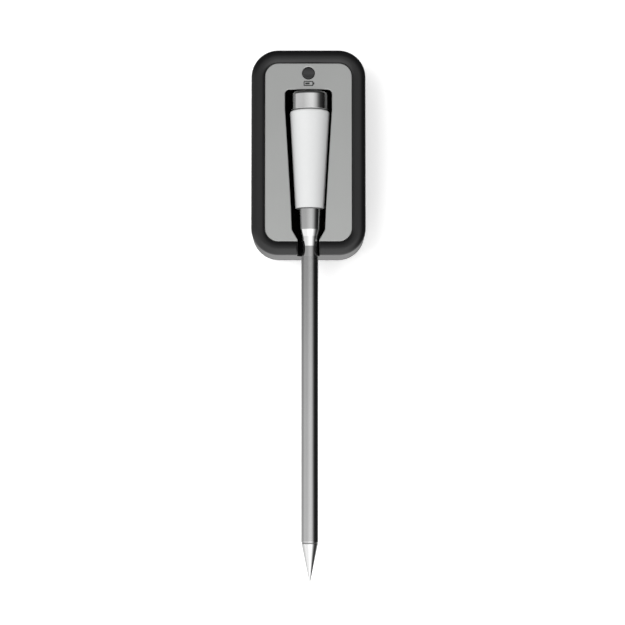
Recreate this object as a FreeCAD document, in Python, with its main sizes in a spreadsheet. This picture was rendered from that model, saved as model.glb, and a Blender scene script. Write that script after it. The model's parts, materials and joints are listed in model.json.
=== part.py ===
import FreeCAD, Part
import Sketcher
import math
import os
import re

# Wireless meat thermometer lying in its pocket dock.
# Frame: +Z out of the dock's face, +Y towards the dock's far end, probe tip towards -Y,
# origin on the surface the feet stand on, under the middle of the dock. Millimetres.

SIZES = {
    # dock case
    "dockWidth": 34.0,
    "farLand": 11.95,
    "nearLand": 7.7,
    "dockCorner": 8.1,
    "rimWide": 3.95,
    "rimRound": 2.1,
    "sideWall": 1.8,
    "topWall": 3.0,
    "coverThick": 2.0,
    "coverRound": 0.8,
    "footProud": 0.8,
    "footSink": 0.4,
    "footRadius": 2.6,
    "plateSink": 0.7,
    "plateThick": 0.8,
    "plateCorner": 4.1,
    "seatGap": 0.1,
    # pocket for the probe
    "axisDepth": 3.3,
    "underTrough": 3.32,
    "capGap": 1.08,
    "sleeveGap": 0.9,
    "pocketTopGap": 0.65,
    "throatHalf": 4.92,
    "throatTaper": 3.6,
    "mouthRun": 0.6,
    "pocketCorner": 1.3,
    "slotHalf": 3.2,
    "linerWall": 0.9,
    "flangeWide": 1.2,
    "flangeThick": 0.6,
    "restGap": 0.1,
    "restLong": 1.8,
    "restHalf": 2.0,
    # probe, measured along its own axis from the cap's top
    "probeShift": 0.4,
    "capRadius": 5.9,
    "capLong": 5.3,
    "capRound": 0.9,
    "plugLong": 3.0,
    "sleeveTopRadius": 5.95,
    "sleeveEndRadius": 4.3,
    "sleeveLong": 29.4,
    "sleeveRound": 0.7,
    "sleeveWall": 1.45,
    "sealThick": 0.25,
    "sealInset": 0.25,
    "ferruleTopRadius": 3.75,
    "ferruleEndRadius": 3.5,
    "ferruleLong": 6.4,
    "collarLong": 4.0,
    "shoulderLong": 2.0,
    "neckRadius": 2.95,
    "neckConeLong": 2.9,
    "neckLong": 6.0,
    "neckTaper": 0.04,
    "shankRadius": 2.5,
    "shankLong": 84.4,
    "tubeWall": 0.4,
    "tipLong": 11.6,
    "tipPoint": 0.25,
    "spigotLong": 4.0,
    "fitGap": 0.03,
    # parts inside the probe
    "stickWidth": 3.0,
    "stickThick": 0.6,
    "pinLong": 2.0,
    "pinCellRadius": 1.55,
    "pinCellLong": 24.0,
    "leadRadius": 0.18,
    "beadRadius": 0.6,
    "beadLong": 3.0,
    "coilRadius": 2.3,
    "coilPitch": 1.8,
    "coilWire": 0.2,
    # parts inside the dock
    "boardThick": 0.8,
    "boardLift": 0.9,
    "boardEdge": 1.3,
    "bossRadius": 2.1,
    "boardBossRadius": 1.7,
    "boardBossX": 11.9,
    "boardBossY": 20.6,
    "caseScrewInset": 5.2,
    "screwRadius": 0.75,
    "screwHeadRadius": 1.4,
    "screwHead": 0.7,
    "screwLong": 6.0,
    "boardScrewRadius": 0.6,
    "boardScrewHead": 0.5,
    "boardScrewHeadRadius": 1.1,
    "boardScrewLong": 4.5,
    "cellThick": 6.0,
    "cellTall": 9.0,
    "cellLong": 34.0,
    "padThick": 0.4,
    "usbWidth": 8.94,
    "usbTall": 3.26,
    "usbDeep": 7.3,
    "usbWall": 0.3,
    "usbSet": 0.4,
    "usbGap": 0.2,
    "tongueWidth": 6.69,
    "tongueThick": 0.7,
    "barrelRadius": 1.0,
    "barrelBore": 0.72,
    "barrelFloor": 0.2,
    "barrelTail": 0.7,
    "barrelLip": 0.25,
    "plungerRadius": 0.66,
    "plungerNeck": 0.45,
    "plungerHead": 0.4,
    "springWire": 0.07,
    "springRadius": 0.42,
    "holdMagnetWide": 5.0,
    "holdMagnetLong": 8.0,
    "holdMagnetThick": 1.6,
    "backMagnetRadius": 4.0,
    "backMagnetThick": 1.3,
    "backMagnetY": 10.0,
    "gasketWide": 0.8,
    "gasketThick": 0.7,
    "gasketInset": 0.5,
    "lensRadius": 1.75,
    "lensGap": 4.95,
    "guideHalf": 0.7,
    "guideReach": 1.8,
    "guideArm": 1.0,
    "ledTall": 0.6,
    "buttonLong": 6.0,
    "buttonTall": 3.0,
    "buttonY": 8.0,
    "buttonZ": 8.6,
    "buttonStroke": 0.4,
    "buttonFlange": 0.7,
    "buttonGap": 0.1,
    "switchLong": 4.4,
    "switchDeep": 2.4,
    "switchTall": 5.6,
    "domeThick": 0.1,
    "moduleWide": 3.6,
    "moduleLong": 12.0,
    "moduleTall": 2.0,
}

# Places worked out from the driving sizes; each word may use the words above it.
PLACES = {
    "coverTop": "footProud + coverThick",
    "boardUnder": "coverTop + boardLift",
    "boardTop": "boardUnder + boardThick",
    "pocketHalf": "capRadius + capGap",
    "axisHeight": "boardTop + underTrough + linerWall + pocketHalf",
    "dockHeight": "axisHeight + axisDepth",
    "plateTop": "dockHeight - plateSink",
    "plateSeat": "plateTop - plateThick",
    "flangeSeat": "plateSeat - flangeThick",
    "ceiling": "dockHeight - topWall",
    "capEnd": "capLong",
    "sleeveEnd": "capEnd + sleeveLong",
    "ferruleEnd": "sleeveEnd + ferruleLong",
    "shoulderEnd": "ferruleEnd + shoulderLong",
    "neckConeEnd": "shoulderEnd + neckConeLong",
    "neckEnd": "shoulderEnd + neckLong",
    "shankEnd": "neckEnd + shankLong",
    "tipEnd": "shankEnd + tipLong",
    "dockLength": "farLand + pocketTopGap + ferruleEnd + nearLand",
    "probeTop": "dockLength / 2 - farLand - pocketTopGap",
    "innerWidth": "dockWidth - 2 * sideWall",
    "innerLength": "dockLength - 2 * sideWall",
    "innerCorner": "dockCorner - sideWall",
    "plateWidth": "dockWidth - 2 * rimWide",
    "plateLength": "dockLength - 2 * rimWide",
    "tubeBore": "shankRadius - tubeWall",
    "collarRadius": "sleeveEndRadius - sleeveWall - fitGap",
    "plugRadius": "sleeveTopRadius - sleeveWall - fitGap",
    "pocketTop": "probeTop + pocketTopGap",
    "lensY": "pocketTop + lensGap",
    "guideFootY": "lensY - guideReach",
    "taperStart": "probeTop - capEnd",
    "throatStart": "probeTop - sleeveEnd",
    "taperEndHalf": "sleeveEndRadius + sleeveGap",
    "slotStart": "-plateLength / 2",
    "throatEnd": "slotStart + throatTaper",
    "slotMouth": "slotStart + mouthRun",
    "capContactY": "probeTop - capLong / 2",
    "ferruleContactY": "probeTop - sleeveEnd - ferruleLong / 2",
    "barrelUnder": "boardUnder - barrelTail",
    "capFloor": "axisHeight - pocketHalf",
    "ferruleFloor": "axisHeight - throatHalf",
    "screwX": "dockWidth / 2 - caseScrewInset",
    "screwY": "dockLength / 2 - caseScrewInset",
    "footSeat": "footProud + footSink",
    "screwSeat": "footProud + footSink + screwHead + seatGap",
    "innerX": "innerWidth / 2",
    "stickStart": "capEnd + plugLong + pinLong",
    "stickEnd": "neckEnd + spigotLong + seatGap",
    "sleevePadY": "probeTop - capEnd - 2 * restLong",
    "sleevePadShare": "(3 * restLong) / sleeveLong",
    "sleevePadFloor": "pocketHalf - (pocketHalf - taperEndHalf) * sleevePadShare",
    "sleevePadRadius": "sleeveTopRadius - (sleeveTopRadius - sleeveEndRadius) * 2 * restLong / sleeveLong",
    "usbFront": "dockLength / 2 - usbSet",
}

doc = FreeCAD.newDocument("MeatThermometer")
sheet = doc.addObject("Spreadsheet::Sheet", "Sizes")
for row, (word, size) in enumerate(SIZES.items(), start=1):
    sheet.set(f"A{row}", word)
    sheet.set(f"B{row}", str(size))
    sheet.setAlias(f"B{row}", word)
doc.recompute()

PARTS = []
ACROSS = FreeCAD.Placement(FreeCAD.Vector(), FreeCAD.Rotation(FreeCAD.Vector(0, 1, 0), 90))
ALONG_PROBE = FreeCAD.Placement(FreeCAD.Vector(), FreeCAD.Rotation(FreeCAD.Vector(1, 0, 0), 90))


def formula(text):
    """The expression for a sum of size words, with every place written out in sheet cells."""
    def spell(match):
        word = match.group(0)
        if word in SIZES:
            return f"Sizes.{word}"
        if word in PLACES:
            return f"({formula(PLACES[word])})"
        return word
    return re.sub(r"[a-z][A-Za-z]*", spell, text)


def mm(text):
    return float(sheet.evalExpression(formula(text)))


def bind(thing, name, text):
    thing.setExpression(name, formula(text))


def place(thing, x="0", y="0", z="0"):
    bind(thing, "Placement.Base.x", x)
    bind(thing, "Placement.Base.y", y)
    bind(thing, "Placement.Base.z", z)


def place_on_probe(thing, along="0", x="0", up="0"):
    """Turn a piece made upright about Z so that it lies along the probe, +Z towards the tip."""
    thing.Placement = ALONG_PROBE
    place(thing, f"probeShift + {x}", f"probeTop - ({along})", f"axisHeight + {up}")


def keep(thing):
    PARTS.append(thing)
    return thing


def new_body(label):
    body = doc.addObject("PartDesign::Body", label)
    body.Label = label
    return keep(body)


def new_sketch(body, plane="XY_Plane", lift="0"):
    sketch = body.newObject("Sketcher::SketchObject", f"{body.Label}_sketch")
    planes = {item.Role: item for item in body.Origin.OriginFeatures}
    sketch.AttachmentSupport = [(planes[plane], "")]
    sketch.MapMode = "FlatFace"
    bind(sketch, "AttachmentOffset.Base.z", lift)
    return sketch


def fix(sketch, kind, geometry, point, text):
    index = sketch.addConstraint(Sketcher.Constraint(kind, -1, 1, geometry, point, mm(text)))
    bind(sketch, f"Constraints[{index}]", text)


def draw_outline(sketch, points):
    """A closed outline of straight runs through (x, y) points given as sums of size words."""
    corners = [FreeCAD.Vector(mm(x), mm(y), 0) for x, y in points]
    first = sketch.GeometryCount
    count = len(points)
    for i in range(count):
        sketch.addGeometry(Part.LineSegment(corners[i], corners[(i + 1) % count]), False)
    for i, (x, y) in enumerate(points):
        after = first + (i + 1) % count
        sketch.addConstraint(Sketcher.Constraint("Coincident", first + i, 2, after, 1))
        fix(sketch, "DistanceX", first + i, 1, x)
        fix(sketch, "DistanceY", first + i, 1, y)
    return sketch


def draw_circle(sketch, x, y, radius):
    circle = Part.Circle(FreeCAD.Vector(mm(x), mm(y), 0), FreeCAD.Vector(0, 0, 1), mm(radius))
    index = sketch.addGeometry(circle, False)
    fix(sketch, "DistanceX", index, 3, x)
    fix(sketch, "DistanceY", index, 3, y)
    size = sketch.addConstraint(Sketcher.Constraint("Radius", index, mm(radius)))
    bind(sketch, f"Constraints[{size}]", radius)
    return sketch


def draw_rounded(sketch, width, length, corner, x="0", y="0"):
    """A rectangle about (x, y) with an arc of the given radius at each corner."""
    turn = math.pi / 2
    first = sketch.GeometryCount
    signs = [(1, -1), (1, 1), (-1, 1), (-1, -1)]
    middles = []
    for side_x, side_y in signs:
        middles.append((f"{x} + {side_x} * (({width}) / 2 - ({corner}))",
                        f"{y} + {side_y} * (({length}) / 2 - ({corner}))"))
    starts = []
    ends = []
    for i, (mid_x, mid_y) in enumerate(middles):
        centre = FreeCAD.Vector(mm(mid_x), mm(mid_y), 0)
        circle = Part.Circle(centre, FreeCAD.Vector(0, 0, 1), mm(corner))
        arc = Part.ArcOfCircle(circle, (i - 1) * turn, i * turn)
        sketch.addGeometry(arc, False)
        starts.append(arc.StartPoint)
        ends.append(arc.EndPoint)
    for i in range(4):
        sketch.addGeometry(Part.LineSegment(ends[i], starts[(i + 1) % 4]), False)
    for i, (mid_x, mid_y) in enumerate(middles):
        arc = first + i
        line = first + 4 + i
        next_arc = first + (i + 1) % 4
        fix(sketch, "DistanceX", arc, 3, mid_x)
        fix(sketch, "DistanceY", arc, 3, mid_y)
        size = sketch.addConstraint(Sketcher.Constraint("Radius", arc, mm(corner)))
        bind(sketch, f"Constraints[{size}]", corner)
        sketch.addConstraint(Sketcher.Constraint("Tangent", arc, 2, line, 1))
        sketch.addConstraint(Sketcher.Constraint("Tangent", line, 2, next_arc, 1))
    return sketch


def pad(body, sketch, length, reverse=False):
    feature = body.newObject("PartDesign::Pad", f"{body.Label}_pad")
    feature.Profile = sketch
    bind(feature, "Length", length)
    feature.Reversed = reverse
    return feature


def pocket(body, sketch, length, upward=False):
    """Cut downward from the sketch, or upward, and make sure that something was cut."""
    doc.recompute()
    before = body.Shape.Volume
    feature = body.newObject("PartDesign::Pocket", f"{body.Label}_pocket")
    feature.Profile = sketch
    bind(feature, "Length", length)
    feature.Reversed = upward
    doc.recompute()
    if body.Shape.Volume >= before:
        raise RuntimeError(f"a pocket in {body.Label} cuts nothing")
    return feature


def turn_about(body, sketch, kind="Revolution", angle=360, reverse=False):
    feature = body.newObject(f"PartDesign::{kind}", f"{body.Label}_turn")
    feature.Profile = sketch
    feature.ReferenceAxis = (sketch, ["V_Axis"])
    feature.Angle = angle
    feature.Reversed = reverse
    return feature


def round_edges(body, wanted, radius, kind="Fillet"):
    """Round or chamfer the edges of a body for which wanted(edge) is true."""
    doc.recompute()
    tip = body.Tip
    names = [f"Edge{i}" for i, edge in enumerate(tip.Shape.Edges, start=1) if wanted(edge)]
    feature = body.newObject(f"PartDesign::{kind}", f"{body.Label}_edge")
    feature.Base = (tip, names)
    bind(feature, "Radius" if kind == "Fillet" else "Size", radius)
    return feature


def at_height(height):
    return lambda edge: all(abs(point.Point.z - height) < 1e-4 for point in edge.Vertexes)


def turned(label, points, along="0"):
    """A piece turned on the probe's axis from (radius, distance along) points."""
    body = new_body(label)
    turn_about(body, draw_outline(new_sketch(body, "XZ_Plane"), points))
    place_on_probe(body, along)
    return body


def upright_turned(label, points, x, y, z):
    """A piece turned on an upright axis through (x, y), its profile counted from height z."""
    body = new_body(label)
    turn_about(body, draw_outline(new_sketch(body, "XZ_Plane"), points))
    place(body, x, y, z)
    return body


def block(label, size, corner):
    """A plain box from a low corner."""
    box = doc.addObject("Part::Box", label)
    box.Label = label
    for name, text in zip(("Length", "Width", "Height"), size):
        bind(box, name, text)
    place(box, *corner)
    return box


def rod(label, radius, length, x, y, z):
    cylinder = doc.addObject("Part::Cylinder", label)
    cylinder.Label = label
    bind(cylinder, "Radius", radius)
    bind(cylinder, "Height", length)
    place(cylinder, x, y, z)
    return cylinder


def join(label, pieces, kind="MultiFuse"):
    group = doc.addObject(f"Part::{kind}", label)
    group.Label = label
    group.Shapes = pieces
    return group


def group_of(label, pieces):
    """Identical separate solids kept in one node."""
    group = doc.addObject("Part::Compound", label)
    group.Label = label
    group.Links = pieces
    return keep(group)


def corners(x, y):
    return [(f"{side_x} * ({x})", f"{side_y} * ({y})") for side_x in (-1, 1) for side_y in (-1, 1)]


# Pocket outline, seen from above, from its far end to the slot's mouth; grow widens it evenly.

def pocket_half(grow="0"):
    return [
        (f"pocketHalf + {grow}", f"pocketTop + {grow}"),
        (f"pocketHalf + {grow}", "taperStart"),
        (f"taperEndHalf + {grow}", "throatStart"),
        (f"throatHalf + {grow}", "throatEnd"),
        (f"slotHalf + {grow}", "slotMouth"),
    ]


def pocket_outline(end, grow="0"):
    right = pocket_half(grow) + [(f"slotHalf + {grow}", end)]
    left = [(f"-({x})", y) for x, y in reversed(right)]
    return right + left


def pocket_corner(edge):
    """The two upright edges at the pocket's far corners."""
    box = edge.BoundBox
    upright = box.XLength < 1e-4 and box.YLength < 1e-4
    at_side = abs(abs(box.XMin) - mm("pocketHalf")) < 1e-3
    return upright and at_side and abs(box.YMin - mm("pocketTop")) < 1e-3


def seat_lip(edge):
    """The upper edge of the recess that the face plate lies in."""
    box = edge.BoundBox
    inside = max(abs(box.XMin), abs(box.XMax)) < mm("plateWidth") / 2 + mm("fitGap")
    return inside and at_height(mm("dockHeight"))(edge)


# ---------------------------------------------------------------- dock case

def make_housing():
    """Upper case: rounded black rim, side walls, screw bosses and the window for the pocket."""
    body = new_body("housing")
    place(body)
    outer = draw_rounded(new_sketch(body, lift="coverTop"), "dockWidth", "dockLength", "dockCorner")
    pad(body, outer, "dockHeight - coverTop")
    round_edges(body, at_height(mm("dockHeight")), "rimRound")
    inner = draw_rounded(new_sketch(body, lift="coverTop"), "innerWidth", "innerLength", "innerCorner")
    pocket(body, inner, "ceiling - coverTop", upward=True)
    for x, y in corners("screwX", "screwY"):
        boss = draw_circle(new_sketch(body, lift="coverTop"), x, y, "bossRadius")
        pad(body, boss, "ceiling - coverTop")
    for x, y in corners("boardBossX", "boardBossY"):
        boss = draw_circle(new_sketch(body, lift="boardTop"), x, y, "boardBossRadius")
        pad(body, boss, "ceiling - boardTop")
    cheek = "slotHalf + sideWall"
    root = "-dockLength / 2 + sideWall / 2"
    cheeks = draw_outline(new_sketch(body, lift="axisHeight - slotHalf - sideWall"), [
        (cheek, "slotStart"), (cheek, root), (f"-({cheek})", root), (f"-({cheek})", "slotStart")])
    pad(body, cheeks, "ceiling - axisHeight + slotHalf + sideWall")
    seat = draw_rounded(new_sketch(body, lift="dockHeight"), "plateWidth", "plateLength", "plateCorner")
    pocket(body, seat, "plateSink + plateThick")
    round_edges(body, seat_lip, "plateSink - fitGap")
    flange = draw_outline(new_sketch(body, lift="dockHeight"),
                          pocket_outline("slotStart", "linerWall + flangeWide + seatGap"))
    pocket(body, flange, "dockHeight - flangeSeat")
    window = draw_outline(new_sketch(body, lift="dockHeight"),
                          pocket_outline("slotStart", "linerWall + seatGap"))
    pocket(body, window, "dockHeight - axisHeight")
    slot = draw_outline(new_sketch(body, lift="dockHeight + seatGap"), [
        ("slotHalf", "slotStart + seatGap"), ("slotHalf", "-dockLength / 2 - sideWall"),
        ("-slotHalf", "-dockLength / 2 - sideWall"), ("-slotHalf", "slotStart + seatGap")])
    pocket(body, slot, "axisDepth + seatGap")
    slot_round = draw_circle(new_sketch(body, "XZ_Plane", "dockLength / 2 + seatGap"),
                             "0", "axisHeight", "slotHalf")
    pocket(body, slot_round, "rimWide + 2 * seatGap")
    for x, y in corners("screwX", "screwY"):
        bore = draw_circle(new_sketch(body, lift="coverTop"), x, y, "screwRadius + fitGap")
        pocket(body, bore, "screwLong", upward=True)
    for x, y in corners("boardBossX", "boardBossY"):
        bore = draw_circle(new_sketch(body, lift="boardTop"), x, y, "boardScrewRadius + fitGap")
        pocket(body, bore, "boardScrewLong", upward=True)
    lens = draw_circle(new_sketch(body, lift="dockHeight"), "0", "lensY", "lensRadius + seatGap")
    pocket(body, lens, "topWall + seatGap")
    port = draw_rounded(new_sketch(body, "XZ_Plane", "-dockLength / 2 - seatGap"),
                        "usbWidth + 2 * usbGap", "usbTall + 2 * usbGap", "usbTall / 2",
                        "0", "boardTop + usbTall / 2")
    pocket(body, port, "sideWall + 2 * seatGap", upward=True)
    key = draw_rounded(new_sketch(body, "YZ_Plane", "dockWidth / 2 + seatGap"),
                       "buttonLong + 2 * buttonGap", "buttonTall + 2 * buttonGap", "buttonTall / 3",
                       "buttonY", "buttonZ")
    pocket(body, key, "sideWall + 2 * seatGap")
    return body


def make_rear_cover():
    """Lower case: flat back with foot sinks, screw holes, magnet cups and the gasket's groove."""
    body = new_body("rear_cover")
    place(body)
    plate = draw_rounded(new_sketch(body, lift="footProud"), "dockWidth", "dockLength", "dockCorner")
    pad(body, plate, "coverThick")
    round_edges(body, at_height(mm("footProud")), "coverRound")
    groove = new_sketch(body, lift="coverTop")
    draw_rounded(groove, "dockWidth - 2 * gasketInset", "dockLength - 2 * gasketInset",
                 "dockCorner - gasketInset")
    draw_rounded(groove, "dockWidth - 2 * gasketInset - 2 * gasketWide",
                 "dockLength - 2 * gasketInset - 2 * gasketWide",
                 "dockCorner - gasketInset - gasketWide")
    pocket(body, groove, "gasketThick")
    for x, y in corners("screwX", "screwY"):
        sink = draw_circle(new_sketch(body, lift="footProud"), x, y, "footRadius + seatGap")
        pocket(body, sink, "footSink", upward=True)
        head = draw_circle(new_sketch(body, lift="footSeat"), x, y, "screwHeadRadius + seatGap")
        pocket(body, head, "screwHead + seatGap", upward=True)
        hole = draw_circle(new_sketch(body, lift="screwSeat"), x, y, "screwRadius + seatGap")
        pocket(body, hole, "coverThick", upward=True)
    for side in ("backMagnetY", "-backMagnetY"):
        cup = draw_circle(new_sketch(body, lift="coverTop"), "0", side, "backMagnetRadius + fitGap")
        pocket(body, cup, "backMagnetThick + seatGap")
    return body


def make_gasket():
    """Square-section rubber ring in the rear cover's groove."""
    body = new_body("case_gasket")
    place(body, z="coverTop - gasketThick")
    ring = new_sketch(body)
    draw_rounded(ring, "dockWidth - 2 * gasketInset - 2 * fitGap",
                 "dockLength - 2 * gasketInset - 2 * fitGap", "dockCorner - gasketInset - fitGap")
    draw_rounded(ring, "dockWidth - 2 * gasketInset - 2 * gasketWide + 2 * fitGap",
                 "dockLength - 2 * gasketInset - 2 * gasketWide + 2 * fitGap",
                 "dockCorner - gasketInset - gasketWide + fitGap")
    pad(body, ring, "gasketThick")
    return body


def make_face_plate():
    """Satin metal face, cut through to the near end by the pocket, with the lamp's hole."""
    body = new_body("face_plate")
    place(body, z="plateSeat")
    plate = draw_rounded(new_sketch(body), "plateWidth - 2 * seatGap", "plateLength - 2 * seatGap",
                         "plateCorner - seatGap")
    pad(body, plate, "plateThick")
    opening = draw_outline(new_sketch(body, lift="plateThick"), pocket_outline("slotStart"))
    pocket(body, opening, "plateThick")
    round_edges(body, pocket_corner, "pocketCorner")
    lens = draw_circle(new_sketch(body, lift="plateThick"), "0", "lensY", "lensRadius + seatGap")
    pocket(body, lens, "plateThick")
    return body


def make_cradle():
    """Gloss pocket liner: straight walls above the probe's axis, a turned trough below it."""
    body = new_body("cradle")
    place(body, z="axisHeight")
    end = "slotStart + seatGap"
    upper = draw_outline(new_sketch(body), pocket_outline(end, "linerWall"))
    pad(body, upper, "flangeSeat - axisHeight")
    flange = draw_outline(new_sketch(body, lift="flangeSeat - axisHeight"),
                          pocket_outline(end, "linerWall + flangeWide"))
    pad(body, flange, "flangeThick - fitGap")
    shell = [("0", "pocketTop + linerWall")] + pocket_half("linerWall")
    shell += [("slotHalf + linerWall", end), ("0", end)]
    turn_about(body, draw_outline(new_sketch(body), shell), angle=180)
    opening = draw_outline(new_sketch(body, lift="plateSeat - axisHeight"), pocket_outline("slotStart"))
    pocket(body, opening, "plateSeat - axisHeight")
    trough = [("0", "pocketTop")] + pocket_half() + [("slotHalf", "slotStart"), ("0", "slotStart")]
    turn_about(body, draw_outline(new_sketch(body), trough), "Groove", angle=180)
    for y in ("capContactY", "ferruleContactY"):
        hole = draw_circle(new_sketch(body), "0", y, "barrelRadius + seatGap")
        pocket(body, hole, "axisDepth + axisHeight")
    round_edges(body, pocket_corner, "pocketCorner")
    return body


def make_rest_pads():
    """Two soft pads glued to the trough, under the sleeve and under the ferrule's wide end."""
    pads = []
    for number, far_y, floor, radius in (
            (1, "sleevePadY", "sleevePadFloor", "sleevePadRadius"),
            (2, "throatStart - seatGap", "throatHalf", "ferruleTopRadius")):
        low = f"axisHeight - ({floor})"
        slab = block(f"rest_slab_{number}", ("2 * restHalf", "restLong", f"{floor} - ({radius}) - restGap"),
                     ("-restHalf", f"{far_y} - restLong", low))
        trough = rod(f"rest_trough_{number}", f"{floor} - fitGap", "2 * restLong", "0", "0", "0")
        trough.Placement = ALONG_PROBE
        place(trough, "0", f"{far_y} + restLong / 2", "axisHeight")
        pads.append(join(f"rest_pad_{number}", [slab, trough], "MultiCommon"))
    group_of("rest_pads", pads)


def make_feet():
    """Soft disc feet that cover the case screws."""
    feet = [rod(f"foot_{i}", "footRadius", "footSeat", x, y, "0")
            for i, (x, y) in enumerate(corners("screwX", "screwY"), start=1)]
    group_of("feet", feet)


def make_screws(label, x, y, head_z, head, head_radius, radius, length):
    """Pan-head screws pointing up, each one solid."""
    screws = []
    for i, (place_x, place_y) in enumerate(corners(x, y), start=1):
        top = rod(f"{label}_head_{i}", head_radius, head, place_x, place_y, head_z)
        shank = rod(f"{label}_shank_{i}", radius, f"{head} + {length}", place_x, place_y, head_z)
        screws.append(join(f"{label}_{i}", [top, shank]))
    group_of(label, screws)


# ---------------------------------------------------------------- inside the dock

def make_board():
    """Circuit board, narrow between the far corner bosses, drilled for its four screws."""
    body = new_body("dock_board")
    place(body, z="boardUnder")
    half = "innerWidth / 2 - boardEdge"
    narrow = "screwX - bossRadius - boardEdge"
    step = "screwY - bossRadius - boardEdge / 2"
    far = "innerLength / 2 - seatGap"
    outline = [(half, f"-({step})"), (half, step), (narrow, step), (narrow, far),
               (f"-({narrow})", far), (f"-({narrow})", step), (f"-({half})", step),
               (f"-({half})", f"-({step})")]
    pad(body, draw_outline(new_sketch(body), outline), "boardThick")
    for x, y in corners("boardBossX", "boardBossY"):
        hole = draw_circle(new_sketch(body), x, y, "boardScrewRadius + seatGap")
        pocket(body, hole, "boardThick", upward=True)
    for y in ("capContactY", "ferruleContactY"):
        hole = draw_circle(new_sketch(body), "0", y, "barrelRadius + fitGap")
        pocket(body, hole, "boardThick", upward=True)


def make_cell():
    """Flat pouch cell standing on its long edge beside the trough, with its foam pad below."""
    x = "-innerWidth / 2 + seatGap"
    keep(block("dock_cell", ("cellThick", "cellLong", "cellTall"),
               (x, "-cellLong / 2", "boardTop + padThick + seatGap")))
    keep(block("cell_pad", ("cellThick", "cellLong", "padThick"), (x, "-cellLong / 2", "boardTop")))


def make_usb():
    """Charging socket: drawn metal shell open to the far end, and its contact tongue."""
    shell = new_body("usb_shell")
    place(shell, y="usbFront", z="boardTop + usbTall / 2")
    tube = draw_rounded(new_sketch(shell, "XZ_Plane"), "usbWidth", "usbTall", "usbTall / 2 - fitGap")
    pad(shell, tube, "usbDeep")
    inside = draw_rounded(new_sketch(shell, "XZ_Plane"), "usbWidth - 2 * usbWall",
                          "usbTall - 2 * usbWall", "usbTall / 2 - usbWall - fitGap")
    pocket(shell, inside, "usbDeep - usbWall", upward=True)
    keep(block("usb_tongue", ("tongueWidth", "usbDeep - 2 * usbWall - seatGap", "tongueThick"),
               ("-tongueWidth / 2", "usbFront - usbDeep + usbWall",
                "boardTop + usbTall / 2 - tongueThick / 2")))


def make_contact(name, y, floor, touch):
    """Sprung charging contact: barrel soldered through the board, spring, and plunger."""
    bottom = "barrelUnder"
    tall = f"{floor} - ({bottom})"
    lip = f"({tall}) - barrelLip"
    barrel = upright_turned(f"{name}_barrel", [
        ("0", "0"), ("barrelRadius", "0"), ("barrelRadius", tall), ("plungerNeck + fitGap * 2", tall),
        ("plungerNeck + fitGap * 2", lip), ("barrelBore", lip), ("barrelBore", "barrelFloor"),
        ("0", "barrelFloor")], "0", y, bottom)
    neck_long = f"{touch} - ({floor}) + barrelLip + fitGap"
    plunger = upright_turned(f"{name}_plunger", [
        ("0", "0"), ("plungerRadius", "0"), ("plungerRadius", "plungerHead"),
        ("plungerNeck", "plungerHead"), ("plungerNeck", f"plungerHead + {neck_long} - plungerNeck / 2"),
        ("plungerNeck / 2", f"plungerHead + {neck_long}"), ("0", f"plungerHead + {neck_long}")],
        "0", y, f"{floor} - barrelLip - fitGap - plungerHead")
    make_spring(f"{name}_spring", y, f"{bottom} + barrelFloor",
                f"{floor} - barrelLip - fitGap - plungerHead")
    return barrel, plunger


def make_spring(label, y, low, high):
    """Round-wire coil between two heights, its wire swept along a helix."""
    wire = "springWire"
    helix = doc.addObject("Part::Helix", f"{label}_line")
    bind(helix, "Radius", "springRadius")
    bind(helix, "Height", f"{high} - ({low}) - 2 * {wire} - 2 * fitGap")
    bind(helix, "Pitch", f"4.5 * {wire}")
    section = doc.addObject("Part::Circle", f"{label}_wire")
    bind(section, "Radius", wire)
    section.Placement = FreeCAD.Placement(FreeCAD.Vector(mm("springRadius"), 0, 0),
                                          FreeCAD.Rotation(FreeCAD.Vector(1, 0, 0), 90))
    bind(section, "Placement.Base.x", "springRadius")
    spring = doc.addObject("Part::Sweep", label)
    spring.Label = label
    spring.Sections = [section]
    spring.Spine = (helix, ["Edge1"])
    spring.Solid = True
    spring.Frenet = True
    place(spring, "0", y, f"{low} + {wire} + fitGap")
    return keep(spring)


def make_magnets():
    """Block magnet that holds the probe down, and two disc magnets that hold the dock to steel."""
    keep(block("probe_magnet", ("holdMagnetWide", "holdMagnetLong", "holdMagnetThick"),
               ("-holdMagnetWide / 2", "throatStart + restLong", "boardTop + fitGap")))
    discs = [rod(f"back_magnet_{i}", "backMagnetRadius", "backMagnetThick", "0", y,
                 "coverTop - backMagnetThick")
             for i, y in enumerate(("backMagnetY", "-backMagnetY"), start=1)]
    group_of("back_magnets", discs)


def make_lamp():
    """Clear cranked light guide, its round head flush with the plate, and the lamp on the board."""
    guide = new_body("light_guide")
    place(guide)
    foot = "boardTop + ledTall + seatGap"
    arm = "ceiling - seatGap - guideArm"
    pad(guide, draw_circle(new_sketch(guide, lift=arm), "0", "lensY", "lensRadius"), f"plateTop - ({arm})")
    low = "guideFootY - guideHalf"
    arm_outline = draw_outline(new_sketch(guide, lift=arm), [
        ("-guideHalf", low), ("guideHalf", low), ("guideHalf", "lensY"), ("-guideHalf", "lensY")])
    pad(guide, arm_outline, "guideArm")
    high = "guideFootY + guideHalf"
    stem = draw_outline(new_sketch(guide, lift=foot), [
        ("-guideHalf", low), ("guideHalf", low), ("guideHalf", high), ("-guideHalf", high)])
    pad(guide, stem, f"{arm} + guideArm / 2 - ({foot})")
    keep(block("status_led", ("2 * guideHalf", "2 * guideHalf", "ledTall"),
               ("-guideHalf", low, "boardTop")))


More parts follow.
